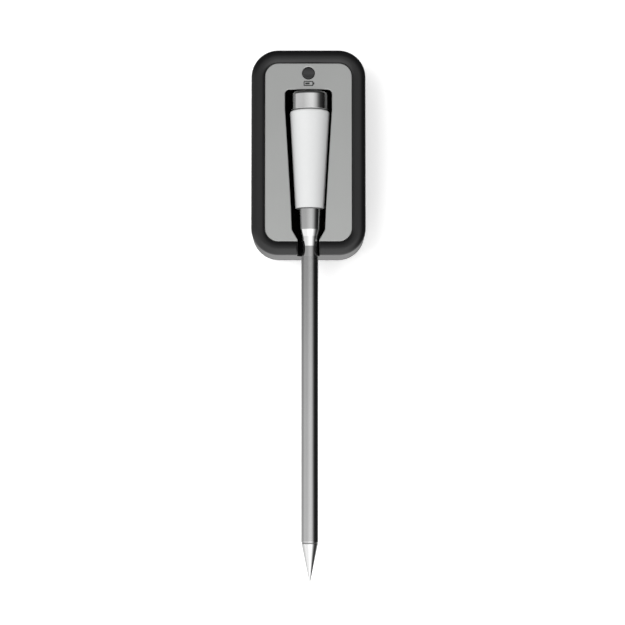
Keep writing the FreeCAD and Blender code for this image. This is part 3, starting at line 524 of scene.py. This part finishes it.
capLow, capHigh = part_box("end_cap")
sleeveLow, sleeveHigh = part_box("handle_sleeve")
ferruleLow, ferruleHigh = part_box("ferrule")
tubeLow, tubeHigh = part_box("probe_tube")
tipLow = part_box("probe_tip")[0]
axisX = (tubeLow.x + tubeHigh.x) / 2
axisHeight = (tubeLow.z + tubeHigh.z) / 2
probeTop = capHigh.y
shankRadius = (tubeHigh.x - tubeLow.x) / 2
capRadius = (capHigh.x - capLow.x) / 2
sleeveRadius = (sleeveHigh.x - sleeveLow.x) / 2
ferruleRadius = (ferruleHigh.x - ferruleLow.x) / 2


# adds a place close to both ends of each long run, so that smooth shading leaves the run straight
def holdRuns(profile, reach, closed):
    count = len(profile)
    out = []
    for i, start in enumerate(profile):
        out.append(start)
        run = profile[(i + 1) % count] - start
        length = np.linalg.norm(run)
        if length > 6 * reach and (closed or i < count - 1):
            out += [start + run * reach / length, start + run * (1 - reach / length)]
    return np.array(out)


turnedSizes = {"around": 112, "hold": 0.05 * mm, "arcSteps": 10}


# a ring for each (distance y, radius r) about the probe's axis: x = axis + r cos a, z = axis + r sin a
def makeTurned(name, profile, slot, replaced, sharp=30.0, closed=False):
    profile = holdRuns(profile, turnedSizes["hold"], closed)
    around = turnedSizes["around"]
    angle = np.linspace(0.0, 2 * math.pi, around, endpoint=False)
    y = np.repeat(profile[:, :1], around, axis=1)
    x = axisX + profile[:, 1:] * np.cos(angle)
    z = axisHeight + profile[:, 1:] * np.sin(angle)
    faces = gridFaces(len(profile), around, closeRows=closed, closeColumns=True)
    points = np.stack([x, y, z], -1).reshape(-1, 3)
    return finishPiece(name, points, faces, "probe", slot, [replaced], sharp)


capSizes = {
    "seal": 0.25 * mm,       # ring between the cap and the sleeve
    "edge": 0.9 * mm,        # round of the top edge
    "dish": 0.15 * mm,       # how far the middle of the top is sunk
    "dishReach": 0.62,       # the dish's radius against the cap's
    "dishRound": 2.0 * mm,
    "plugLength": 3.0 * mm,
    "plugRadius": 4.47 * mm,
    "plugEdge": 0.2 * mm,
    "lowEdge": 0.12 * mm,
}


# profile: dished top, round top edge, straight band, small lower edge, plug inside the sleeve
def makeCap(sizes):
    end = sleeveHigh.y + sizes["seal"]
    plugEnd = end - sizes["plugLength"]
    dishRadius, plugRadius = capRadius * sizes["dishReach"], sizes["plugRadius"]
    corners = [(probeTop - sizes["dish"], 0.0), (probeTop, dishRadius), (probeTop, capRadius),
               (end, capRadius), (end, plugRadius), (plugEnd, plugRadius), (plugEnd, 0.0)]
    radii = [0, sizes["dishRound"], sizes["edge"], sizes["lowEdge"], 0, sizes["plugEdge"], 0]
    profile = filletPath(corners, radii, turnedSizes["arcSteps"])
    makeTurned("endCap", profile, "polished_steel", "end_cap")


sleeveSizes = {
    "endRadius": 4.3 * mm,
    "wall": 1.45 * mm,
    "shoulder": 0.75 * mm,   # round of the wide end
    "lowEdge": 0.15 * mm,
    "bore": 5.8 * mm,        # reach of the bore's straight narrow end
    "boreTop": 4.5 * mm,     # and of its straight wide end
    "boreRound": 0.5 * mm,
    "boreEdge": 0.1 * mm,
}


# profile: outer taper between a rounded wide end and a crisp narrow end, then the tapered bore
def makeSleeve(sizes):
    top, end = sleeveHigh.y, sleeveLow.y
    wideBore = sleeveRadius - sizes["wall"]
    narrowBore = sizes["endRadius"] - sizes["wall"]
    corners = [(top, sleeveRadius), (end, sizes["endRadius"]), (end, narrowBore),
               (end + sizes["bore"], narrowBore), (top - sizes["boreTop"], wideBore), (top, wideBore)]
    radii = [sizes["shoulder"], sizes["lowEdge"], sizes["boreEdge"], sizes["boreRound"],
             sizes["boreRound"], sizes["boreEdge"]]
    profile = filletPath(corners, radii, turnedSizes["arcSteps"], closed=True)
    makeTurned("handleSleeve", profile, "white_ceramic", "handle_sleeve", closed=True)


ferruleSizes = {
    "seal": 0.25 * mm,       # ring between the sleeve and the band
    "band": 6.15 * mm,
    "endRadius": 3.5 * mm,
    "shoulder": 2.0 * mm,
    "neckRadius": 2.95 * mm,
    "cone": 2.9 * mm,
    "slimGap": 0.04 * mm,    # how much wider than the shank the neck's slim run starts
    "socket": 4.2 * mm,
    "socketRadius": 2.75 * mm,
    "bore": 1.6 * mm,
    "edge": 0.1 * mm,
    "bandRound": 0.12 * mm,
    "neckRound": 0.9 * mm,
    "slimRound": 0.5 * mm,
}


# profile: socket in the sleeve, band, shoulder, neck cone, slim run down to the shank
def makeFerrule(sizes):
    top = sleeveLow.y - sizes["seal"]
    bandEnd = top - sizes["band"]
    shoulderEnd = bandEnd - sizes["shoulder"]
    socketTop = top + sizes["socket"]
    corners = [(socketTop, sizes["bore"]), (socketTop, sizes["socketRadius"]), (top, sizes["socketRadius"]),
               (top, ferruleRadius), (bandEnd, sizes["endRadius"]),
               (shoulderEnd, sizes["neckRadius"]),
               (shoulderEnd - sizes["cone"], shankRadius + sizes["slimGap"]),
               (tubeHigh.y, shankRadius), (tubeHigh.y, sizes["bore"])]
    radii = [0, 0, 0, sizes["edge"], sizes["bandRound"], sizes["neckRound"], sizes["slimRound"], 0, 0]
    profile = filletPath(corners, radii, turnedSizes["arcSteps"])
    makeTurned("ferruleCollar", profile, "polished_steel", "ferrule", 40.0)


shankSizes = {
    "wall": 0.4 * mm,
    "weld": 0.025 * mm,      # depth of the hair line at the point's root
    "weldStart": 0.3 * mm,   # where the tube starts to thin before its end
    "weldFloor": 0.12 * mm,  # where it reaches the hair line's floor
    "pointRadius": 0.12 * mm,
    "pointRound": 0.1 * mm,
    "rootRound": 0.4 * mm,
    "spigot": 4.0 * mm,
    "spigotGap": 0.03 * mm,
}


# straight thin tube with a hair-line weld at the point's root, closed back through its bore
def makeShank(sizes):
    start, end = tubeHigh.y, tubeLow.y
    low = shankRadius - sizes["weld"]
    bore = shankRadius - sizes["wall"]
    profile = np.array([(start, shankRadius), (end + sizes["weldStart"], shankRadius),
                        (end + sizes["weldFloor"], low), (end, low), (end, bore), (start, bore)])
    makeTurned("probeTube", profile, "shank_steel", "probe_tube", 40.0, closed=True)


# cone from the shank's end to a small round point, its spigot inside the shank
def makePoint(sizes):
    root, end = tubeLow.y, tipLow.y
    spigot = shankRadius - sizes["wall"] - sizes["spigotGap"]
    corners = [(root + sizes["spigot"], 0.0), (root + sizes["spigot"], spigot), (root, spigot),
               (root, shankRadius), (end, sizes["pointRadius"]), (end, 0.0)]
    radii = [0, 0, 0, sizes["rootRound"], sizes["pointRound"], 0]
    profile = filletPath(corners, radii, turnedSizes["arcSteps"])
    makeTurned("probePoint", profile, "shank_steel", "probe_tip", 40.0)


makeCap(capSizes)
makeSleeve(sleeveSizes)
makeFerrule(ferruleSizes)
makeShank(shankSizes)
makePoint(shankSizes)
print("probe made")


caseLow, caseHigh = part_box("housing")
plateLow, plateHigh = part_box("face_plate")
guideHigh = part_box("light_guide")[1]
slotHalf = 3.2 * mm      # half the slot's width, and the radius of its floor
pocketSizes = {
    "half": 6.98 * mm,
    "top": probeTop + 0.65 * mm,
    "taperStart": sleeveHigh.y + capSizes["seal"],
    "throatStart": sleeveLow.y,
    "taperEndHalf": 5.2 * mm,
    "throatHalf": 4.92 * mm,
    "throatEnd": -23.15 * mm,
    "mouth": -26.15 * mm,
    "corner": 1.3 * mm,
    "bends": [0.0, 1.0 * mm, 1.6 * mm, 4.0 * mm, 6.0 * mm],    # rounds from the slot to the taper's start
}
rimSizes = {
    "corner": 8.1 * mm,
    "round": 2.1 * mm,       # the rim's outer quarter round
    "width": 3.95 * mm,      # from the side wall to the plate's seat
    "sink": 0.66 * mm,       # how far the rim's inner curve comes down to the plate
    "wall": 1.8 * mm,
    "ledge": 1.6 * mm,
    "ceiling": 16.0 * mm,
    "seam": 0.18 * mm,       # chamfer at the joint with the rear cover
    "lip": 0.55 * mm,        # round of the slot's lips
    "cheek": 5.0 * mm,       # half the width that is filled beside the slot
    "cheekFloor": 7.9 * mm,
    "sharp": 32.0,           # degrees past which an edge shades as a crease
    "nearPlaces": 24,        # evenly spread places along the near run, and steps along the others
    "sideSteps": 30,
    "farSteps": 16,
    "cornerSteps": 20,
    "wallPlaces": 14,
    "quarterPlaces": 13,
    "lipPlaces": 9,
    "hair": 0.002 * mm,      # gap between the places on the two sides of a step
}


# once round a rounded rectangle, anticlockwise from the middle of the near side: places and
# inward normals; the runs are even and the near run takes the extra places in dense
def roundedPath(halfX, halfY, sizes, dense):
    corner, cornerSteps, sideSteps = sizes["corner"], sizes["cornerSteps"], sizes["sideSteps"]
    straightX, straightY = halfX - corner, halfY - corner
    spaced = np.linspace(-straightX, straightX, sizes["nearPlaces"])
    near = np.unique(np.round(np.concatenate([spaced, dense]), 7))

    def nearRun(places):
        ones = np.ones(len(places))
        return np.stack([places, -halfY * ones, 0.0 * ones, ones], -1)

    def arc(centreX, centreY, start):
        angle = np.linspace(start, start + math.pi / 2, cornerSteps + 1)[1:]
        c, s = np.cos(angle), np.sin(angle)
        return np.stack([centreX + corner * c, centreY + corner * s, -c, -s], -1)

    def line(a, b, normal, count):
        t = np.linspace(0.0, 1.0, count + 1)[1:, None]
        places = np.array(a) * (1 - t) + np.array(b) * t
        return np.concatenate([places, np.repeat([normal], count, 0)], 1)

    path = np.concatenate([
        nearRun(near[near >= 0]),
        arc(straightX, -straightY, -math.pi / 2),
        line((halfX, -straightY), (halfX, straightY), (-1.0, 0.0), sideSteps),
        arc(straightX, straightY, 0.0),
        line((straightX, halfY), (-straightX, halfY), (0.0, -1.0), sizes["farSteps"]),
        arc(-straightX, straightY, math.pi / 2),
        line((-halfX, straightY), (-halfX, -straightY), (1.0, 0.0), sideSteps),
        arc(-straightX, -straightY, math.pi),
        nearRun(near[near < 0][1:])])
    return path[:, :2], path[:, 2:]


# takes the cutter's shape out of the piece and leaves a plain mesh
def cutWith(piece, cutter):
    modifier = piece.modifiers.new("cut", "BOOLEAN")
    modifier.operation = "DIFFERENCE"
    modifier.solver = "EXACT"
    modifier.object = cutter
    depsgraph = bpy.context.evaluated_depsgraph_get()
    mesh = bpy.data.meshes.new_from_object(piece.evaluated_get(depsgraph))
    piece.modifiers.clear()
    piece.data = mesh
    bpy.data.objects.remove(cutter)


# a bar through a wall, with a rounded rectangle for its section
def barCutter(name, centre, halfLong, halfTall, corner, axis, depth):
    outline = filletPath([(-halfLong, -halfTall), (halfLong, -halfTall), (halfLong, halfTall),
                          (-halfLong, halfTall)], [corner] * 4, 8, closed=True)
    rows = []
    for reach in (-depth, depth):
        flat = np.full(len(outline), reach)
        if axis == "y":
            rows.append(np.stack([outline[:, 0], flat, outline[:, 1]], -1) + centre)
        else:
            rows.append(np.stack([flat, outline[:, 0], outline[:, 1]], -1) + centre)
    count = len(outline)
    faces = gridFaces(2, count, closeColumns=True).tolist()
    faces += [list(range(count)), list(range(count, 2 * count))]
    mesh = bpy.data.meshes.new(name)
    mesh.from_pydata(np.concatenate(rows).tolist(), [], faces)
    shape = bmesh.new()
    shape.from_mesh(mesh)
    bmesh.ops.recalc_face_normals(shape, faces=shape.faces)
    shape.to_mesh(mesh)
    shape.free()
    cutter = bpy.data.objects.new(name, mesh)
    bpy.context.scene.collection.objects.link(cutter)
    return cutter


# the case's closed section: (inset from the side, height, and the surface's way in and up);
# outside wall, quarter round, then a quarter ellipse that comes down to the plate's seat
def caseSection(sizes):
    low, top = caseLow.z, caseHigh.z
    bend, width, seat = sizes["round"], sizes["width"], plateLow.z
    quarter = np.linspace(0.0, math.pi / 2, sizes["quarterPlaces"])
    c, s = np.cos(quarter), np.sin(quarter)
    wallHeights = np.linspace(low + sizes["seam"], top - bend, sizes["wallPlaces"])[:-1]
    none = np.zeros(len(wallHeights))
    wall = np.stack([none, wallHeights, none - 1.0, none], -1)
    outer = np.stack([bend - bend * c, top - bend + bend * s, -c, s], -1)
    reach, sink = width - bend, sizes["sink"]
    slope = np.hypot(s * sink, c * reach)
    inner = np.stack([bend + reach * s, top - sink + sink * c, s * sink / slope, c * reach / slope], -1)
    ledge, wallIn = width + sizes["ledge"], sizes["wall"]
    ceiling, cheekFloor = sizes["ceiling"], sizes["cheekFloor"]
    inside = [(width, seat), (ledge, seat), (ledge, ceiling), (wallIn, ceiling),
              (wallIn, cheekFloor), (wallIn, cheekFloor), (wallIn, low)]
    rest = np.column_stack([inside, np.zeros((len(inside), 2))])
    return np.concatenate([[[sizes["seam"], low, 0.0, 0.0]], wall, outer, inner[1:], rest])


cheekRows = slice(-7, -2)    # the section's inside points from the plate's seat to the cheek's floor


# the section carried round the rounded rectangle; at the slot each point is lowered to the
# slot's half-round floor, and beside it the section is filled to make cheeks
def makeCase(sizes):
    section = caseSection(sizes)
    inset, height, wayIn, wayUp = section.T
    cheekInset = inset.copy()
    cheekInset[cheekRows] = sizes["width"]
    hair, lip, cheek = sizes["hair"], sizes["lip"], sizes["cheek"]
    lipPlaces = slotHalf + lip * (1 - np.cos(np.linspace(0.0, math.pi / 2, sizes["lipPlaces"])))
    floorPlaces = slotHalf * np.sin(np.linspace(0.0, math.pi / 2, sizes["quarterPlaces"])) - hair
    edges = np.array([cheek, cheek + hair])
    dense = np.concatenate([lipPlaces, -lipPlaces, floorPlaces, -floorPlaces, edges, -edges])
    places, normals = roundedPath(caseHigh.x, caseHigh.y, sizes, dense)
    nearRun = (normals[:, 1] > 0.999)
    across = np.abs(places[:, 0])
    isCheek = nearRun & (across <= cheek + hair / 2)
    isSlot = nearRun & (across < slotHalf - hair / 2)
    isLip = nearRun & (across >= slotHalf - hair / 2) & (across < slotHalf + lip)
    insets = np.where(isCheek[:, None], cheekInset, inset)
    heights = np.repeat(height[None, :], len(places), 0)
    reach = np.clip(lip - (across - slotHalf), 0.0, lip)
    drop = np.where(isLip, lip - np.sqrt(np.maximum(lip ** 2 - reach ** 2, 0.0)), 0.0)[:, None]
    fade = np.clip((heights - (axisHeight - slotHalf)) / slotHalf, 0.0, 1.0)
    insets = insets - wayIn * drop * fade
    heights = heights - wayUp * drop * fade
    floor = axisHeight - np.sqrt(np.maximum(slotHalf ** 2 - across ** 2, 0.0))
    heights = np.where(isSlot[:, None], np.minimum(heights, floor[:, None]), heights)
    xy = places[:, None, :] + normals[:, None, :] * insets[:, :, None]
    points = np.concatenate([xy, heights[:, :, None]], -1)
    rows, columns = heights.shape
    faces = gridFaces(rows, columns, closeRows=True, closeColumns=True)
    return finishPiece("dockCase", points.reshape(-1, 3), faces, "dock", "case_black", ["housing"],
                       sizes["sharp"])


portSizes = {"gap": 0.2 * mm, "corner": 1.6 * mm, "inset": 0.9 * mm, "reach": 1.6 * mm}
keySizes = {"halfLong": 3.1 * mm, "halfTall": 1.6 * mm, "corner": 1.0 * mm}


# the charging port's opening through the far wall and the pairing key's through the right wall
def makePortAndKeyHoles(piece):
    usbLow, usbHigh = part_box("usb_shell")
    keyLow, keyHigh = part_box("pair_button")
    inset, reach, gap = portSizes["inset"], portSizes["reach"], portSizes["gap"]
    portPlace = np.array([0.0, caseHigh.y - inset, (usbLow.z + usbHigh.z) / 2])
    cutWith(piece, barCutter("portCutter", portPlace, usbHigh.x + gap, (usbHigh.z - usbLow.z) / 2 + gap,
                             portSizes["corner"], "y", reach))
    keyPlace = np.array([caseHigh.x - inset, (keyLow.y + keyHigh.y) / 2, (keyLow.z + keyHigh.z) / 2])
    cutWith(piece, barCutter("keyCutter", keyPlace, keySizes["halfLong"], keySizes["halfTall"],
                             keySizes["corner"], "x", reach))
    piece.data.shade_smooth()
    piece.data.set_sharp_from_angle(angle=math.radians(rimSizes["sharp"]))


dockCase = makeCase(rimSizes)
makePortAndKeyHoles(dockCase)
print("case made")


# the pocket seen from above, from the slot's right side round the far end to its left side
def pocketOutline(sizes, end):
    right = [(slotHalf, end), (slotHalf, sizes["mouth"]), (sizes["throatHalf"], sizes["throatEnd"]),
             (sizes["taperEndHalf"], sizes["throatStart"]), (sizes["half"], sizes["taperStart"]),
             (sizes["half"], sizes["top"])]
    radii = sizes["bends"] + [sizes["corner"]]
    left = [(-x, y) for x, y in reversed(right)]
    return right + left, radii + radii[::-1]


plateSizes = {
    "corner": 4.0 * mm,
    "chamfer": 0.16 * mm,
    "lens": 1.85 * mm,       # radius of the lamp's hole
    "lensY": 23.7 * mm,
    "lensPlaces": 48,
    "arcSteps": 10,
    "sharp": 12.0,           # degrees; keeps the chamfer crisp
}


# moves each point of a closed loop towards its inside, along its mean normal
def offsetLoop(loop, distance):
    first = loop - np.roll(loop, 1, 0)
    second = np.roll(loop, -1, 0) - loop
    first = first / np.linalg.norm(first, axis=1)[:, None]
    second = second / np.linalg.norm(second, axis=1)[:, None]
    normal = np.stack([-(first + second)[:, 1], (first + second)[:, 0]], -1)
    normal = normal / np.linalg.norm(normal, axis=1)[:, None]
    turn = np.abs(normal[:, 0] * -second[:, 1] + normal[:, 1] * second[:, 0])
    return loop + normal * (distance / np.maximum(0.4, turn))[:, None]


# a flat plate: its outline carried up the side and over the chamfer, and the two faces filled
def makePlate(sizes):
    halfX, halfY = plateHigh.x, plateHigh.y
    inner, innerRadii = pocketOutline(pocketSizes, -halfY)
    outer = [(-halfX, -halfY), (-halfX, halfY), (halfX, halfY), (halfX, -halfY)]
    loop = filletPath(inner + outer, innerRadii + [sizes["corner"]] * 4, sizes["arcSteps"], closed=True)
    if np.sum(loop[:, 0] * np.roll(loop[:, 1], -1) - loop[:, 1] * np.roll(loop[:, 0], -1)) < 0:
        loop = loop[::-1]
    low, top, cut = plateLow.z, plateHigh.z, sizes["chamfer"]
    levels = [(0.0, low), (0.0, top - cut), (0.35 * cut, top - 0.3 * cut), (cut, top)]
    angle = np.linspace(0.0, 2 * math.pi, sizes["lensPlaces"], endpoint=False)
    unit = np.stack([np.cos(angle), np.sin(angle)], -1)
    rings = [np.column_stack([offsetLoop(loop, inset), np.full(len(loop), z)]) for inset, z in levels]
    holes = [np.column_stack([(sizes["lens"] + grow) * unit + (0.0, sizes["lensY"]),
                              np.full(len(angle), z)]) for grow, z in levels]
    count, around = len(loop), len(angle)
    points = np.concatenate(rings + holes)
    firstHole = len(levels) * count
    faces = gridFaces(len(levels), count, closeColumns=True).tolist()
    faces += (gridFaces(len(levels), around, closeColumns=True) + firstHole).tolist()
    for level in (0, len(levels) - 1):
        index = np.concatenate([level * count + np.arange(count),
                                firstHole + level * around + np.arange(around)])
        outlines = [[Vector(p) for p in points[part]] for part in (index[:count], index[count:])]
        faces += index[np.array(geometry.tessellate_polygon(outlines))].tolist()
    finishPiece("facePlate", points, faces, "dock", "satin_plate", ["face_plate"], sizes["sharp"])


makePlate(plateSizes)
print("plate made")


linerSizes = {"wall": 0.9 * mm, "stations": 150, "floorSteps": 40, "wallSteps": 8}


# trough: at each station along y a half circle of the pocket's half width, with straight sides
# up to under the plate; the half width follows the pocket's outline, rounded at the far end
def makeLiner(sizes):
    pocket = pocketSizes
    end, top = plateLow.y, plateLow.z
    share = 1 - np.cos(np.linspace(0, math.pi / 2, sizes["stations"]))
    y = pocket["top"] - (pocket["top"] - end) * share
    near = [end, pocket["mouth"], pocket["throatEnd"], pocket["throatStart"], pocket["taperStart"],
            pocket["top"]]
    wide = [slotHalf, slotHalf, pocket["throatHalf"], pocket["taperEndHalf"], pocket["half"],
            pocket["half"]]
    corner = pocket["corner"]
    into = np.clip((y - (pocket["top"] - corner)) / corner, 0.0, 1.0)
    half = np.interp(y, near, wide) - corner * (1 - np.sqrt(1 - into ** 2))
    floorAngle = np.linspace(math.pi, 2 * math.pi, sizes["floorSteps"])
    rise = np.linspace(1.0, 0.0, sizes["wallSteps"])[:-1]
    left = np.stack([np.repeat(-half[:, None], len(rise), 1), np.repeat(y[:, None], len(rise), 1),
                     axisHeight + (top - axisHeight) * np.repeat(rise[None, :], len(y), 0)], -1)
    floor = np.stack([half[:, None] * np.cos(floorAngle), np.repeat(y[:, None], len(floorAngle), 1),
                      axisHeight + half[:, None] * np.sin(floorAngle)], -1)
    right = left[:, ::-1] * (-1.0, 1.0, 1.0)
    points = np.concatenate([left, floor, right], 1)
    rows, columns = points.shape[:2]
    faces = gridFaces(rows, columns).tolist()
    faces.append(list(range(columns)))
    piece = finishPiece("pocketLiner", points.reshape(-1, 3), faces, "dock", "liner_black", ["cradle"], 40.0)
    solid = piece.modifiers.new("wall", "SOLIDIFY")
    solid.thickness = sizes["wall"]
    solid.offset = 1.0


makeLiner(linerSizes)
print("pocket liner made")


lensSizes = {"radius": 1.76 * mm, "proud": 0.03 * mm, "depth": 0.5 * mm, "edge": 0.1 * mm, "around": 64}


# lamp lens turned about an upright axis: straight side, small round edge, flat top
def makeLampLens(sizes):
    radius, top = sizes["radius"], guideHigh.z + sizes["proud"]
    low = top - sizes["depth"]
    profile = filletPath([(0.0, low), (radius, low), (radius, top), (0.0, top)],
                         [0, 0, sizes["edge"], 0], 6)
    angle = np.linspace(0.0, 2 * math.pi, sizes["around"], endpoint=False)
    points = np.stack([profile[:, :1] * np.cos(angle), plateSizes["lensY"] + profile[:, :1] * np.sin(angle),
                       np.repeat(profile[:, 1:], len(angle), 1)], -1)
    faces = gridFaces(len(profile), len(angle), closeColumns=True)
    finishPiece("lampLens", points.reshape(-1, 3), faces, "dock", "clear_guide", (), 40.0)


makeLampLens(lensSizes)


# charge mark: a small battery outline with its terminal, printed on the plate under the lamp
markSizes = {
    "place": (0.0, 20.55 * mm),
    "long": 2.9 * mm,
    "tall": 1.5 * mm,
    "line": 0.28 * mm,
    "corner": 0.3 * mm,
    "terminal": (0.3 * mm, 0.7 * mm),
    "fill": (1.3 * mm, 0.55 * mm),
    "fillGap": 1.8,          # from the outline's outer edge to the fill, in line widths
    "smallCorner": 0.1 * mm,
    "thick": 0.012 * mm,
}


# a closed loop of the mark as a thin slab, hollowed where an inner loop of as many points is given
def markSlab(outer, inner):
    low, top = plateHigh.z, plateHigh.z + markSizes["thick"]
    if inner is None:
        inner = np.repeat(outer.mean(0)[None, :], len(outer), 0)
    rings = [(outer, low), (outer, top), (inner, top), (inner, low)]
    points = np.concatenate([np.column_stack([ring, np.full(len(ring), z)]) for ring, z in rings])
    return points, gridFaces(4, len(outer), closeRows=True, closeColumns=True)


# a rounded rectangle about its centre
def markBox(centre, long, tall, corner):
    x, y = long / 2, tall / 2
    corners = [(-x, -y), (x, -y), (x, y), (-x, y)]
    return filletPath(corners, [corner] * 4, 6, closed=True) + centre


# the outline, the terminal at its right end and the fill at its left, as one flat mesh
def makeChargeMark(sizes):
    centre = np.array(sizes["place"])
    long, tall, line = sizes["long"], sizes["tall"], sizes["line"]
    body = markSlab(markBox(centre, long, tall, sizes["corner"]),
                    markBox(centre, long - 2 * line, tall - 2 * line, sizes["corner"] - line / 2))
    terminalLong, terminalTall = sizes["terminal"]
    terminalPlace = centre + (long / 2 + terminalLong / 2, 0.0)
    fillLong, fillTall = sizes["fill"]
    fillPlace = centre - ((long - fillLong) / 2 - sizes["fillGap"] * line, 0.0)
    small = sizes["smallCorner"]
    parts = [body, markSlab(markBox(terminalPlace, terminalLong, terminalTall, small), None),
             markSlab(markBox(fillPlace, fillLong, fillTall, small), None)]
    starts = np.cumsum([0] + [len(points) for points, faces in parts])
    points = np.concatenate([points for points, faces in parts])
    faces = np.concatenate([faces + start for (points, faces), start in zip(parts, starts)])
    finishPiece("chargeMark", points, faces, "dock", "key_black", (), 30.0)


makeChargeMark(markSizes)
print("lamp lens and charge mark made")
